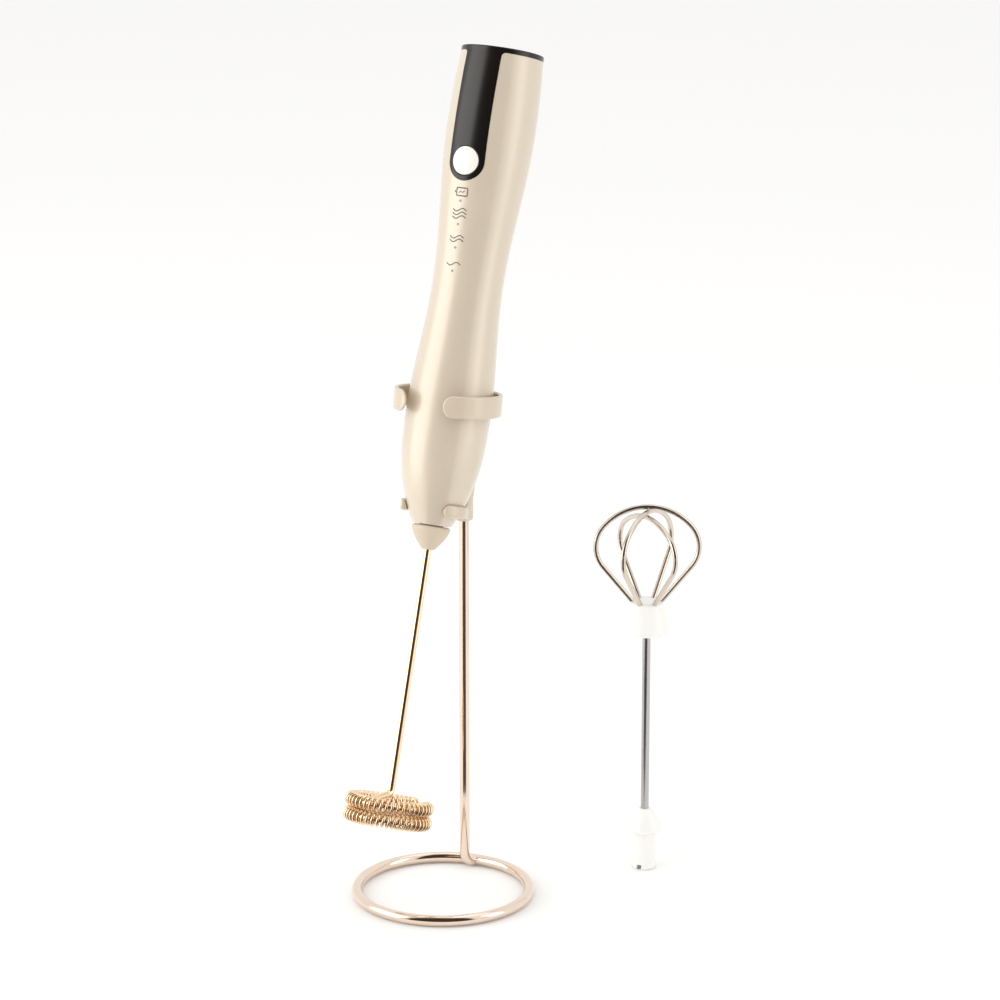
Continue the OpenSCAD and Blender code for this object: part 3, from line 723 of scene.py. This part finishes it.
top_half = strip_half(HOUSING_LEN)
cap_angles = [math.asin(top_half * x / TOP_R) for x in column_x]
cap_open = cap_angles[-1]
cap_angles += [cap_open + (2 * math.pi - 2 * cap_open) * k / BACK_STEPS for k in range(1, BACK_STEPS + 1)]
cap_profile = [(TOP_R, HOUSING_LEN), (TOP_R, HOUSING_LEN + 0.6), (TOP_R, HOUSING_LEN + CAP_T - CAP_EDGE)]
for k in range(1, 6):
    a = k * math.pi / 10
    cap_profile.append((
        TOP_R - CAP_EDGE * (1 - math.cos(a)), HOUSING_LEN + CAP_T - CAP_EDGE * (1 - math.sin(a))))
rim = TOP_R - CAP_EDGE
for k in range(1, 15):
    r = rim * (1 - k / 14)
    cap_profile.append((r, HOUSING_LEN + CAP_T + CAP_RISE * (1 - (r / rim) ** 2)))
cap_sheet = grid([at_radius(r, s, cap_angles) for r, s in cap_profile])

cap = piece("cap_and_strip", *together(lobe_sheet, tongue_sheet, cap_sheet), BLACK)
mould(cap, 1.0, 0.16, 3)

SLOT_W, SLOT_T = 9.4, 3.7
SLOT_V = -4.6
slot_ring = []
for k in range(32):
    a = 2 * math.pi * (k + 0.5) / 32
    side = 1 if math.cos(a) > 0 else -1
    slot_ring.append((
        side * (SLOT_W - SLOT_T) / 2 + SLOT_T / 2 * math.cos(a), SLOT_V + SLOT_T / 2 * math.sin(a)))
slot_low, slot_high = HOUSING_LEN - 2, HOUSING_LEN + 6
slot_points = [(x, y, slot_low) for x, y in slot_ring] + [(x, y, slot_high) for x, y in slot_ring]
slot_faces = [tuple(range(31, -1, -1)), tuple(range(32, 64))]
slot_faces += [(k, (k + 1) % 32, 32 + (k + 1) % 32, 32 + k) for k in range(32)]
cut_with(cap, slot_points, slot_faces)
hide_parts("panel_cap")
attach(cap, "handle")
report(cap)

# %% [markdown]
# ## Button
# The button is a cream disc that follows the curve of the strip and stands a
# little proud of it. It is drawn as rings of points on the housing's own curve,
# given a skirt, and rounded at the rim. Two catches behind the wall keep it in.

# %% Button mesh
BUTTON_R = 4.65
BUTTON_LIFT = 0.35
button_rows = []
for r in (0.0, 0.9, 1.8, 2.7, 3.5, 4.1, 4.45, BUTTON_R):
    dish = 0.12 * (1 - (r / BUTTON_R) ** 2)
    button_rows.append([
        on_body(r * math.sin(a), BUTTON_S + r * math.cos(a), BUTTON_LIFT - dish)
        for a in (2 * math.pi * k / 64 for k in range(65))])
button = piece("button_face", *grid(button_rows), CREAM)
mould(button, 2.4, 0.38, 4)
catches = piece("button_catches", *box_points(
    (-2, -11.35, BUTTON_S - 5.7), (2, -10.3, BUTTON_S + 5.7)), CREAM)
pusher = piece("button_pusher", *turned([(0, 0), (1.6, 0), (1.6, 1.6), (0, 1.6)], 32), CREAM, UPRIGHT)
PUSHER_AT = Matrix.Translation((0, -0.01, BUTTON_S * MM))
pusher.data.transform(LEANING @ PUSHER_AT @ Matrix.Rotation(math.pi / 2, 4, "X"))
mould(catches, None, 0.15)
button = merged("power_button_face", button, catches, pusher)
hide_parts("power_button")
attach(button, "button")
report(button)

# %% [markdown]
# ## Printed marks
# Under the button a battery and three sets of waves are printed, each above
# its light. Ink is a layer, so each mark is a thin ribbon laid on the curve of
# the housing and given a hair of thickness. The marks are plain shapes.

# %% Marks
LIGHT_S = (83.3, 90.95, 98.6, 106.25)
MARK_LIFT = 0.035
MARK_HALF = 0.17


def ribbon(path, half=MARK_HALF, closed=False):
    """A flat stroke along a path of (x, s) points on the housing."""
    points, faces = [], []
    count = len(path)
    for k, (x, s) in enumerate(path):
        a = path[(k - 1) % count] if closed or k else path[k]
        b = path[(k + 1) % count] if closed or k < count - 1 else path[k]
        dx, ds = b[0] - a[0], b[1] - a[1]
        size = math.hypot(dx, ds) or 1.0
        nx, ns = -ds / size * half, dx / size * half
        points += [on_body(x + nx, s + ns, MARK_LIFT), on_body(x - nx, s - ns, MARK_LIFT)]
    for k in range(count if closed else count - 1):
        a, b = 2 * k, 2 * ((k + 1) % count)
        faces.append((a, a + 1, b + 1, b))
    return points, faces


def wave(s):
    """One wave: it dips on the left and crests on the right."""
    path = []
    for k in range(33):
        t = k / 32
        path.append((-2.55 + 5.1 * t, s - 0.52 * math.sin(2 * math.pi * (t * 1.12 - 0.06))))
    return ribbon(path)


def battery(s):
    """A rounded cell outline with its terminal on the left."""
    path = []
    for cx, cs, a0 in ((1.75, 0.85, 0), (-1.35, 0.85, 90), (-1.35, -0.85, 180), (1.75, -0.85, 270)):
        for k in range(7):
            a = math.radians(a0 + 15 * k)
            path.append((cx + 0.45 * math.cos(a), s + cs + 0.45 * math.sin(a)))
    path = [
        (a[0] + (b[0] - a[0]) * t, a[1] + (b[1] - a[1]) * t)
        for a, b in zip(path, path[1:] + path[:1])
        for t in (np.arange(0, 1, 0.2) if math.dist(a, b) > 0.5 else (0.0,))]
    nub = [(-2.55, s), (-2.2, s)]
    charge = [(-0.9, s - 0.35), (-0.2, s + 0.25), (0.4, s - 0.25), (1.2, s + 0.45)]
    return [ribbon(path, 0.2, True), ribbon(nub, 0.3), ribbon(charge, 0.15)]


strokes = []
for light, waves in zip(LIGHT_S, (1, 2, 3, 0)):
    strokes += [wave(light + 2.3 + 1.2 * k) for k in range(waves)]
strokes += battery(LIGHT_S[3] + 2.9)
marks = piece("printed_marks", *together(*strokes), INK, recalc=False)
skin = marks.modifiers.new("ink", "SOLIDIFY")
skin.thickness = 0.03 * MM
skin.offset = 0
settle(marks)
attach(marks, "handle")
report(marks)

# %% [markdown]
# ## Holder
# The holder is one cream moulding: an open band round the belly, a smaller
# open ring under it that follows the nose, a spine behind, and a socket that
# is pressed on the rod. Each member is lofted from rounded rectangles, then the
# members are fused by a fine Remesh, which leaves the soft fillets of a mould.


# %% Lofting
def rounded(half_w, half_h, corner, steps=4):
    """Points of a rounded rectangle round (0, 0)."""
    corner = min(corner, half_w * 0.98, half_h * 0.98)
    loop = []
    for cx, cy, a0 in ((1, 1, 0), (-1, 1, 90), (-1, -1, 180), (1, -1, 270)):
        for k in range(steps + 1):
            a = math.radians(a0 + 90 * k / steps)
            loop.append((
                cx * (half_w - corner) + corner * math.cos(a),
                cy * (half_h - corner) + corner * math.sin(a)))
    return loop


def loft(sections):
    """A closed skin over loops of equally many points, with both ends capped."""
    count = len(sections[0])
    points = [p for loop in sections for p in loop]
    faces = []
    for r in range(len(sections) - 1):
        for c in range(count):
            a, b = r * count + c, r * count + (c + 1) % count
            faces.append((a, b, b + count, a + count))
    faces.append(tuple(reversed(range(count))))
    last = (len(sections) - 1) * count
    faces.append(tuple(range(last, last + count)))
    return points, faces


def arm(centre_v, low, high, inner_at, outer_at, half_angle, tip_taper, tilt=0.0):
    """An open ring: a loft round the axis with rounded tips at the front."""
    half_h = (high - low) / 2
    middle = (high + low) / 2
    reach = math.degrees(half_h / outer_at(middle))
    turns = []
    for k in range(1, 10):
        a = math.radians(10 * k)
        turns.append((half_angle - reach * math.cos(a), math.sin(a)))
    turns += [(float(a), 1.0) for a in np.linspace(half_angle + 2, 358 - half_angle, 84)]
    turns += [(360 - a, h) for a, h in reversed(turns[:9])]
    sections = []
    for angle, tall in turns:
        tip_mm = math.radians(min(angle, 360 - angle) - half_angle + reach) * outer_at(middle)
        thin = 1 - tip_taper * max(0.0, 1 - tip_mm / 5.0) ** 1.4
        a = math.radians(angle)
        loop = []
        for x, y in rounded(0.5, half_h * tall, 0.62 if tall > 0.9 else 0.4):
            s = middle + y
            near, far = inner_at(s), outer_at(s)
            depth = (far - near) * thin
            r = near + (0.5 + x) * depth
            v, up = -r * math.cos(a), s - middle
            loop.append((
                r * math.sin(a),
                centre_v + v * math.cos(tilt) - up * math.sin(tilt),
                middle + v * math.sin(tilt) + up * math.cos(tilt)))
        sections.append(loop)
    return loft(sections)


# %% Holder mesh
BAND_S, BAND_H, BAND_IN, BAND_OUT, BAND_V = 41.0, 7.4, 16.6, 18.0, -1.5
BAND_OPEN, SEAT_OPEN, BAND_TILT = 36.0, 58.0, math.radians(8)
SEAT_LOW, SEAT_HIGH, SEAT_OUT = 3.3, 7.3, 11.4
SPINE_HALF, SPINE_FRONT, SPINE_BACK = 4.0, 15.2, 19.4
SPINE_LOW, SPINE_HIGH = 3.0, 47.5
CLEAR = 0.35

band = piece("holder_band", *arm(
    BAND_V, BAND_S - BAND_H / 2, BAND_S + BAND_H / 2,
    lambda s: BAND_IN, lambda s: BAND_OUT, BAND_OPEN, 0.45, BAND_TILT), HOLDER)
seat = piece("holder_seat", *arm(
    0.0, SEAT_LOW, SEAT_HIGH,
    lambda s: body_r(s) + CLEAR, lambda s: SEAT_OUT, SEAT_OPEN, 0.2), HOLDER)


def bar(s, half_w, front, back, corner):
    """One section of the spine at height s."""
    middle, deep = (front + back) / 2, (back - front) / 2
    return [(x, middle + y, s) for x, y in rounded(half_w, deep, corner)]


spine_sections = []
spine_stations = [(SPINE_LOW, 0.6, 1.2), (SPINE_LOW + 0.3, 0.2, 1.2), (SPINE_LOW + 0.8, 0.0, 1.2)]
spine_stations += [(float(s), 0.0, 1.4) for s in np.linspace(5, SPINE_HIGH - 1.2, 12)]
spine_stations += [(SPINE_HIGH - 0.5, 0.25, 1.2), (SPINE_HIGH, 0.9, 1.2)]
for s, shrink, corner in spine_stations:
    spine_sections.append(
        bar(s, SPINE_HALF - shrink, SPINE_FRONT + shrink, SPINE_BACK - shrink, corner))
spine = piece("holder_spine", *loft(spine_sections), HOLDER)

web_sections = []
for v in np.linspace(SEAT_OUT - 0.9, SPINE_FRONT + 1, 6):
    web_sections.append([
        (x, float(v), (SEAT_LOW + SEAT_HIGH) / 2 + y)
        for x, y in rounded(SPINE_HALF, (SEAT_HIGH - SEAT_LOW) / 2, 0.8)])
web = piece("holder_web", *loft(web_sections), HOLDER)

ROD_X, ROD_Y = -5.6, 24.2
SOCKET_R, SOCKET_LOW, SOCKET_HIGH = 3.2, 124.6, 142.0


def spine_line(v, y):
    """Height in the model where the plane at v in the handle's frame stands at y."""
    lean = math.radians(LEAN_DEG)
    along = (y - SEAM.y / MM - v * math.cos(lean)) / math.sin(lean)
    return SEAM.z / MM - v * math.sin(lean) + along * math.cos(lean)


def socket_loop(radius, height):
    """A circle round the rod; height is a function of y."""
    loop = []
    for a in np.linspace(0, 2 * math.pi, 48, endpoint=False):
        x, y = ROD_X + radius * math.cos(a), ROD_Y + radius * math.sin(a)
        loop.append((x, y, height(y)))
    return loop


socket_sections = [
    socket_loop(SOCKET_R - shrink, lambda y, up=up: SOCKET_LOW + up)
    for shrink, up in ((0.5, 0.0), (0.15, 0.15), (0.0, 0.5), (0.0, 3.0))]
socket_sections.append(socket_loop(
    SOCKET_R, lambda y: min(SOCKET_HIGH, spine_line(SPINE_FRONT + 0.3, y))))
socket = piece("holder_socket", *loft(socket_sections), HOLDER, UPRIGHT)

holder = merged("holder_moulding", band, seat, spine, web, socket)
fuse = holder.modifiers.new("fuse", "REMESH")
fuse.mode = "VOXEL"
fuse.voxel_size = 0.28 * MM
fuse.adaptivity = 0.0
fuse.use_smooth_shade = True
melt = holder.modifiers.new("melt", "SMOOTH")
melt.factor = 0.5
melt.iterations = 5
settle(holder)
for poly in holder.data.polygons:
    poly.use_smooth = True
holder.data.materials.clear()
holder.data.materials.append(HOLDER)
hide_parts("holder")
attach(holder, "stand")
report(holder)

# %% [markdown]
# ## Bent wire
# Stand, whisk and balloon are all bent wire: one round section carried along a
# path. That is a rule, so one Geometry Nodes tree makes them all. Its inputs
# are the path, the wire's radius, the number of sides and the finish.


# %% Wire tree
def node_tree(name, sockets):
    """An empty Geometry Nodes tree with named inputs."""
    tree = bpy.data.node_groups.new(name, "GeometryNodeTree")
    tree.is_modifier = True
    for label, kind in sockets:
        tree.interface.new_socket(label, in_out="INPUT", socket_type=kind)
    tree.interface.new_socket("Result", in_out="OUTPUT", socket_type="NodeSocketGeometry")
    start = tree.nodes.new("NodeGroupInput")
    end = tree.nodes.new("NodeGroupOutput")
    return tree, start, end


def finish_tree(tree, start, end, geometry):
    """Every tree ends alike: smooth shading, real geometry, one finish."""
    smooth = step(tree, "GeometryNodeSetShadeSmooth", {0: geometry})
    real = step(tree, "GeometryNodeRealizeInstances", {0: smooth.outputs[0]})
    coated = step(tree, "GeometryNodeSetMaterial", {
        0: real.outputs[0], "Material": start.outputs["Finish"]})
    tree.links.new(coated.outputs[0], end.inputs[0])


WIRE_TREE, wire_in, wire_out = node_tree("bent_wire", (
    ("Path", "NodeSocketGeometry"), ("Radius", "NodeSocketFloat"),
    ("Sides", "NodeSocketInt"), ("Finish", "NodeSocketMaterial")))
line = step(WIRE_TREE, "GeometryNodeMeshToCurve", {0: wire_in.outputs["Path"]})
section = step(WIRE_TREE, "GeometryNodeCurvePrimitiveCircle", {
    "Resolution": wire_in.outputs["Sides"], "Radius": wire_in.outputs["Radius"]})
swept = step(WIRE_TREE, "GeometryNodeCurveToMesh", {
    "Curve": line.outputs[0], "Profile Curve": section.outputs[0], "Fill Caps": True})
finish_tree(WIRE_TREE, wire_in, wire_out, swept.outputs[0])


def run_tree(name, tree, points, finish, place=LEANING, closed=False, **values):
    """Runs a tree on a path of millimetre points and keeps the plain mesh."""
    count = len(points)
    edges = [(k, k + 1) for k in range(count - 1)] + ([(count - 1, 0)] if closed else [])
    mesh = bpy.data.meshes.new(name)
    mesh.from_pydata([tuple(p) for p in placed(points, place)], edges, [])
    obj = link(bpy.data.objects.new(name, mesh))
    maker = obj.modifiers.new("maker", "NODES")
    maker.node_group = tree
    values["Finish"] = finish
    for item in tree.interface.items_tree:
        if item.in_out == "INPUT" and item.name in values:
            maker[item.identifier] = values[item.name]
    settle(obj)
    fixed = bmesh.new()
    fixed.from_mesh(obj.data)
    bmesh.ops.remove_doubles(fixed, verts=fixed.verts, dist=0.0000005)
    bmesh.ops.recalc_face_normals(fixed, faces=fixed.faces)
    fixed.to_mesh(obj.data)
    fixed.free()
    obj.data.materials.clear()
    obj.data.materials.append(finish)
    return obj


print("wire tree:", len(WIRE_TREE.nodes), "nodes")

# %% [markdown]
# ## Stand
# The base is one ring of wire. The rod stands on it behind the middle: its
# foot bends level and runs into the ring, where it would be welded.

# %% Ring and rod
RING_R, RING_WIRE = 29.0, 1.8
ROD_R, ROD_TOP, FOOT_BEND = 1.75, 137.0, 4.0
FOOT = (0.342, 0.94)

ring_path = [
    (RING_R * math.cos(a), RING_R * math.sin(a), RING_WIRE)
    for a in np.linspace(0, 2 * math.pi, 160, endpoint=False)]
ring = run_tree(
    "base_ring_wire", WIRE_TREE, ring_path, STAND_WIRE, UPRIGHT, True, Radius=RING_WIRE * MM, Sides=28)

rod_path = [(ROD_X, ROD_Y, float(z)) for z in np.linspace(ROD_TOP, RING_WIRE + FOOT_BEND, 40)]
for k in range(1, 13):
    a = math.radians(7.5 * k)
    out = FOOT_BEND * (1 - math.cos(a))
    rod_path.append((
        ROD_X + FOOT[0] * out, ROD_Y + FOOT[1] * out, RING_WIRE + FOOT_BEND * (1 - math.sin(a))))
rod = run_tree("stand_rod_wire", WIRE_TREE, rod_path, STAND_WIRE, UPRIGHT, Radius=ROD_R * MM, Sides=28)

for obj, node in ((ring, "base_ring"), (rod, "stand_rod")):
    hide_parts(node)
    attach(obj, "stand")
    report(obj)

# %% [markdown]
# ## Whisk hubs
# Both whisks plug into the handle with the same moulding: a stem with a
# driving slot, a flange and a cone down to the wire. It is a turned profile
# with the slot cut across the end of the stem.

# %% Hub mesh
STEM_R, STEM_TOP = 3.95, 13.05
HUB_R, HUB_TIP, HUB_LEN, HUB_ROUND = 6.4, 2.0, 8.3, 0.9
DRIVE_BORE, BORE_LOW = 1.04, 8.6
SLOT_WIDE, SLOT_DEEP = 1.7, 1.6


def hub(name, wire_r, finish, place):
    """The plug of a whisk, stem up."""
    profile = [(0, BORE_LOW), (DRIVE_BORE, BORE_LOW), (DRIVE_BORE, STEM_TOP)]
    profile += [(STEM_R, STEM_TOP), (STEM_R, 9), (STEM_R, 4), (STEM_R, -CLEAR)]
    rim = HUB_R - HUB_ROUND
    for k in range(0, 7):
        a = math.radians(15 * k)
        profile.append((rim + HUB_ROUND * math.sin(a), -CLEAR - HUB_ROUND * (1 - math.cos(a))))
    deep = HUB_LEN - CLEAR - HUB_ROUND
    for k in range(1, 20):
        t = k / 20
        profile.append((HUB_R + (HUB_TIP - HUB_R) * t ** 1.5, -CLEAR - HUB_ROUND - deep * t))
    profile += [(HUB_TIP, -HUB_LEN + 0.12), (HUB_TIP - 0.2, -HUB_LEN)]
    profile += [(wire_r, -HUB_LEN), (wire_r, -3), (0, -3)]
    made = piece(name, *turned(profile, 72), finish, place)
    cut_with(made, *box_points(
        (-SLOT_WIDE / 2, -5, STEM_TOP - SLOT_DEEP), (SLOT_WIDE / 2, 5, STEM_TOP + 4)), place)
    return mould(made, None, 0.14, 2, 42)


SHAFT_R, EGG_SHAFT_R = 1.2, 1.4
whisk_hub = hub("whisk_plug", SHAFT_R, HUB, LEANING)
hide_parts("whisk_hub")
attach(whisk_hub, "whisk")
report(whisk_hub)

EGG_X, EGG_Y = 47.2, 56.0
STANDING = Matrix.Translation((EGG_X * MM, EGG_Y * MM, 0))
PLUG_DOWN = STANDING @ Matrix.Translation((0, 0, STEM_TOP * MM)) @ Matrix.Rotation(math.pi, 4, "X")
egg_hub = hub("balloon_plug", EGG_SHAFT_R, WHITE, PLUG_DOWN)
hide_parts("egg_hub")
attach(egg_hub, "egg_whisk")
report(egg_hub)

# %% [markdown]
# ## Spring whisk
# A thick wire comes down from the plug and bends out to a ring. Round the ring
# runs a fine close spring, twice round, one turn below the other. A spring
# round a path is a rule again: walk the path, and turn an offset round it as
# you go. The tree has inputs for the number of coils and their radius.

# %% Shaft and inner ring
BEND_S, SPOKE_TURN = -89.5, math.radians(-102)
COIL_RING_R, COIL_R, COIL_S, COIL_GAP = 12.5, 2.5, 93.2, 4.8
CORE_R = 0.8
SHAFT_BEND = 2.4

spoke_out = np.array([math.cos(SPOKE_TURN), math.sin(SPOKE_TURN), 0.0])
down = np.array([0.0, 0.0, -1.0])
slope = math.atan2(COIL_S + BEND_S, COIL_RING_R)
spoke_dir = spoke_out * math.cos(slope) + down * math.sin(slope)
corner = np.array([0.0, 0.0, BEND_S - 0.4])
turn = math.acos(float(np.dot(down, spoke_dir)))
back_off = SHAFT_BEND * math.tan(turn / 2)
shaft_path = [np.array([0.0, 0.0, float(s)]) for s in np.linspace(-3.2, corner[2] + back_off, 30)]
bend_middle = corner - down * back_off + spoke_out * SHAFT_BEND
for k in range(1, 13):
    a = turn * k / 12
    shaft_path.append(bend_middle - spoke_out * SHAFT_BEND * math.cos(a) + down * SHAFT_BEND * math.sin(a))
spoke_end = spoke_out * COIL_RING_R + down * COIL_S
elbow = shaft_path[-1]
for k in range(1, 9):
    shaft_path.append(elbow + (spoke_end - elbow) * k / 8)
shaft = run_tree("whisk_wire_shaft", WIRE_TREE, shaft_path, WHISK_WIRE, Radius=SHAFT_R * MM, Sides=20)

TURN_STEPS = 96


def two_turns(radius):
    """A path twice round the axis; it starts, drops one coil and ends at the back."""
    path = []
    for k in range(2 * TURN_STEPS + 1):
        a = SPOKE_TURN + math.pi + 2 * math.pi * k / TURN_STEPS
        t = min(1.0, max(0.0, (k / TURN_STEPS - 0.85) / 0.3))
        drop = COIL_GAP * (3 * t ** 2 - 2 * t ** 3)
        path.append((radius * math.cos(a), radius * math.sin(a), -COIL_S - drop))
    return path


core = run_tree(
    "whisk_core_ring", WIRE_TREE, two_turns(COIL_RING_R), WHISK_WIRE, Radius=CORE_R * MM, Sides=12)
print("shaft and inner ring:", len(shaft.data.polygons) + len(core.data.polygons), "faces")

# %% Spring tree
SPRING_TREE, spring_in, spring_out = node_tree("ring_spring", (
    ("Path", "NodeSocketGeometry"), ("Coils", "NodeSocketFloat"), ("Points", "NodeSocketInt"),
    ("Coil Radius", "NodeSocketFloat"), ("Wire Radius", "NodeSocketFloat"),
    ("Sides", "NodeSocketInt"), ("Finish", "NodeSocketMaterial")))
path_line = step(SPRING_TREE, "GeometryNodeMeshToCurve", {0: spring_in.outputs["Path"]})
fine_line = step(SPRING_TREE, "GeometryNodeResampleCurve", {
    "Curve": path_line.outputs[0], "Count": spring_in.outputs["Points"]})
along = step(SPRING_TREE, "GeometryNodeSplineParameter")
tangent = step(SPRING_TREE, "GeometryNodeInputTangent")
axis_up = step(SPRING_TREE, "FunctionNodeInputVector")
axis_up.vector = AXIS


def maths(kind, operation, *values):
    """The result of one Math or Vector Math node in the spring tree."""
    made = step(SPRING_TREE, f"ShaderNode{kind}", dict(enumerate(values)), operation=operation)
    return made.outputs[0]


def scaled(vector, amount):
    made = step(SPRING_TREE, "ShaderNodeVectorMath", {0: vector, "Scale": amount}, operation="SCALE")
    return made.outputs[0]


across = maths("VectorMath", "CROSS_PRODUCT", tangent.outputs[0], axis_up.outputs[0])
side = maths("VectorMath", "NORMALIZE", across)
over = maths("VectorMath", "CROSS_PRODUCT", side, tangent.outputs[0])
turns = maths("Math", "MULTIPLY", along.outputs["Factor"], spring_in.outputs["Coils"])
angle = maths("Math", "MULTIPLY", turns, 2 * math.pi)
cosine, sine = maths("Math", "COSINE", angle), maths("Math", "SINE", angle)
whole = maths("VectorMath", "ADD", scaled(side, cosine), scaled(over, sine))
offset = scaled(whole, spring_in.outputs["Coil Radius"])
wound = step(SPRING_TREE, "GeometryNodeSetPosition", {
    "Geometry": fine_line.outputs[0], "Offset": offset})
fine_section = step(SPRING_TREE, "GeometryNodeCurvePrimitiveCircle", {
    "Resolution": spring_in.outputs["Sides"], "Radius": spring_in.outputs["Wire Radius"]})
spring_mesh = step(SPRING_TREE, "GeometryNodeCurveToMesh", {
    "Curve": wound.outputs[0], "Profile Curve": fine_section.outputs[0], "Fill Caps": True})
finish_tree(SPRING_TREE, spring_in, spring_out, spring_mesh.outputs[0])

SPRING_WIRE = 0.5
COILS_A_TURN = 48
POINTS_A_COIL = 16
spring = run_tree(
    "whisk_spring_wire", SPRING_TREE, two_turns(COIL_RING_R), WHISK_WIRE,
    Coils=2.0 * COILS_A_TURN, Points=2 * COILS_A_TURN * POINTS_A_COIL + 1,
    **{"Coil Radius": (COIL_R - SPRING_WIRE) * MM, "Wire Radius": SPRING_WIRE * MM, "Sides": 8})

for obj, node in ((shaft, "whisk_shaft"), (core, "whisk_core"), (spring, "whisk_spring")):
    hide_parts(node)
    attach(obj, "whisk")
    report(obj)

# %% [markdown]
# ## Balloon whisk
# Three closed loops cross at the top, one under the other, and their six legs
# run down into a white collar. A loop is a straight leg, a shoulder arc, a flat
# top arc and the same again on the other side, all tangent to each other.

# %% Loops
EGG_TOP, LOOP_WIRE, LOOP_HALF = 129.4, 0.9, 17.4
COLLAR_LOW, COLLAR_HIGH, COLLAR_WIDE, COLLAR_TIGHT = 84.5, 95.5, 7.9, 5.8
LEG_TILT, LEG_OUT, LEG_FOOT = math.radians(39.4), 5.0, 93.0


def half_loop(k):
    """Points (out, up) of loop k from its foot to its top."""
    r = 11 - 1.4 * k
    cx = LOOP_HALF - r
    cz = COLLAR_HIGH + r * math.sin(LEG_TILT)
    cz += (cx + r * math.cos(LEG_TILT) - LEG_OUT) / math.tan(LEG_TILT)
    top = EGG_TOP - LOOP_WIRE - 2 * k * (LOOP_WIRE + 0.05)
    rise = top - cz
    big = (cx * cx + rise * rise - r * r) / (2 * (rise - r))
    over_z = top - big
    hand = math.atan2(cz - over_z, cx)
    end = (cx + r * math.cos(LEG_TILT), cz - r * math.sin(LEG_TILT))
    foot_x = end[0] - (end[1] - LEG_FOOT) * math.tan(LEG_TILT)
    points = [
        (foot_x + (end[0] - foot_x) * t, LEG_FOOT + (end[1] - LEG_FOOT) * t)
        for t in np.linspace(0, 1, 10, endpoint=False)]
    points += [(cx + r * math.cos(a), cz + r * math.sin(a)) for a in np.linspace(-LEG_TILT, hand, 40)]
    points += [
        (big * math.cos(a), over_z + big * math.sin(a))
        for a in np.linspace(hand, math.pi / 2, 16)[1:]]
    return points


for k in range(3):
    half_points = half_loop(k)
    turn = math.radians(30 + 60 * k)
    flat = half_points + [(-x, z) for x, z in reversed(half_points[:-1])]
    path = [(x * math.cos(turn), x * math.sin(turn), z) for x, z in flat]
    wire = run_tree(
        f"balloon_wire_{k + 1}", WIRE_TREE, path, EGG_WIRE, STANDING, Radius=LOOP_WIRE * MM, Sides=16)
    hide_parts(f"egg_loop_{k + 1}")
    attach(wire, "egg_whisk")
    report(wire)

# %% Collar and shaft
collar_profile = [(0, COLLAR_LOW + 4), (EGG_SHAFT_R, COLLAR_LOW + 4), (EGG_SHAFT_R, COLLAR_LOW)]
collar_profile += [(COLLAR_WIDE - 1.0, COLLAR_LOW)]
for k in range(1, 7):
    a = math.radians(15 * k)
    collar_profile.append((
        COLLAR_WIDE - 1.0 + math.sin(a), COLLAR_LOW + 1.0 - math.cos(a)))
for t in np.linspace(0.1, 1, 8):
    collar_profile.append((
        COLLAR_WIDE + (COLLAR_TIGHT - COLLAR_WIDE) * t,
        COLLAR_LOW + 1 + (COLLAR_HIGH - 1.6 - COLLAR_LOW) * t))
for k in range(1, 5):
    a = math.radians(22.5 * k)
    collar_profile.append((
        COLLAR_TIGHT - 0.6 * (1 - math.cos(a)), COLLAR_HIGH - 0.6 + 0.6 * math.sin(a)))
collar_profile += [(3.0, COLLAR_HIGH), (0, COLLAR_HIGH)]
collar = piece("balloon_collar", *turned(collar_profile, 72), WHITE, STANDING)
mould(collar, None, 0.12, 2, 50)
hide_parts("egg_collar")
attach(collar, "egg_whisk")
report(collar)

egg_path = [(0, 0, float(z)) for z in np.linspace(STEM_TOP - 5, COLLAR_LOW + 4, 30)]
egg_shaft = run_tree(
    "balloon_shaft", WIRE_TREE, egg_path, EGG_SHAFT, STANDING, Radius=EGG_SHAFT_R * MM, Sides=24)
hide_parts("egg_shaft")
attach(egg_shaft, "egg_whisk")
report(egg_shaft)

# %% [markdown]
# ## The works inside
# Nobody sees inside the handle, so its parts are a likely set, drawn in full in
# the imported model. Their meshes stay, and each gets the finish of its material.

# %% Finishes for the carried-over parts
INSIDE = {
    LENS_GREY: "light_guide", CHASSIS: "inner_frame", BOARD: "control_board",
    LED_RESIN: "led_1 led_2 led_3 led_4", CELL_WRAP: "battery_cell",
    PLATED: "tact_switch usb_socket board_screw_1 board_screw_2",
    NICKEL: "battery_tab_low battery_tab_high", MOTOR_STEEL: "motor_can armature_core",
    FERRITE: "magnet_left magnet_right", BRONZE: "front_bearing rear_bearing",
    NYLON: "end_bell drive_dog", RED_LEAD: "lead_red", BLACK_LEAD: "lead_black",
    COPPER: "brush_left brush_right armature_coil_1 armature_coil_2 armature_coil_3 commutator",
    RUBBER: "shaft_seal", SWITCH: "switch_plunger", GROUND_STEEL: "motor_shaft"}
inner_nodes = 0
for finish, names in INSIDE.items():
    for node in names.split():
        inner_nodes += 1
        for material_slot in frame["nodes"][node].material_slots:
            material_slot.material = finish
print(inner_nodes, "inner parts finished")
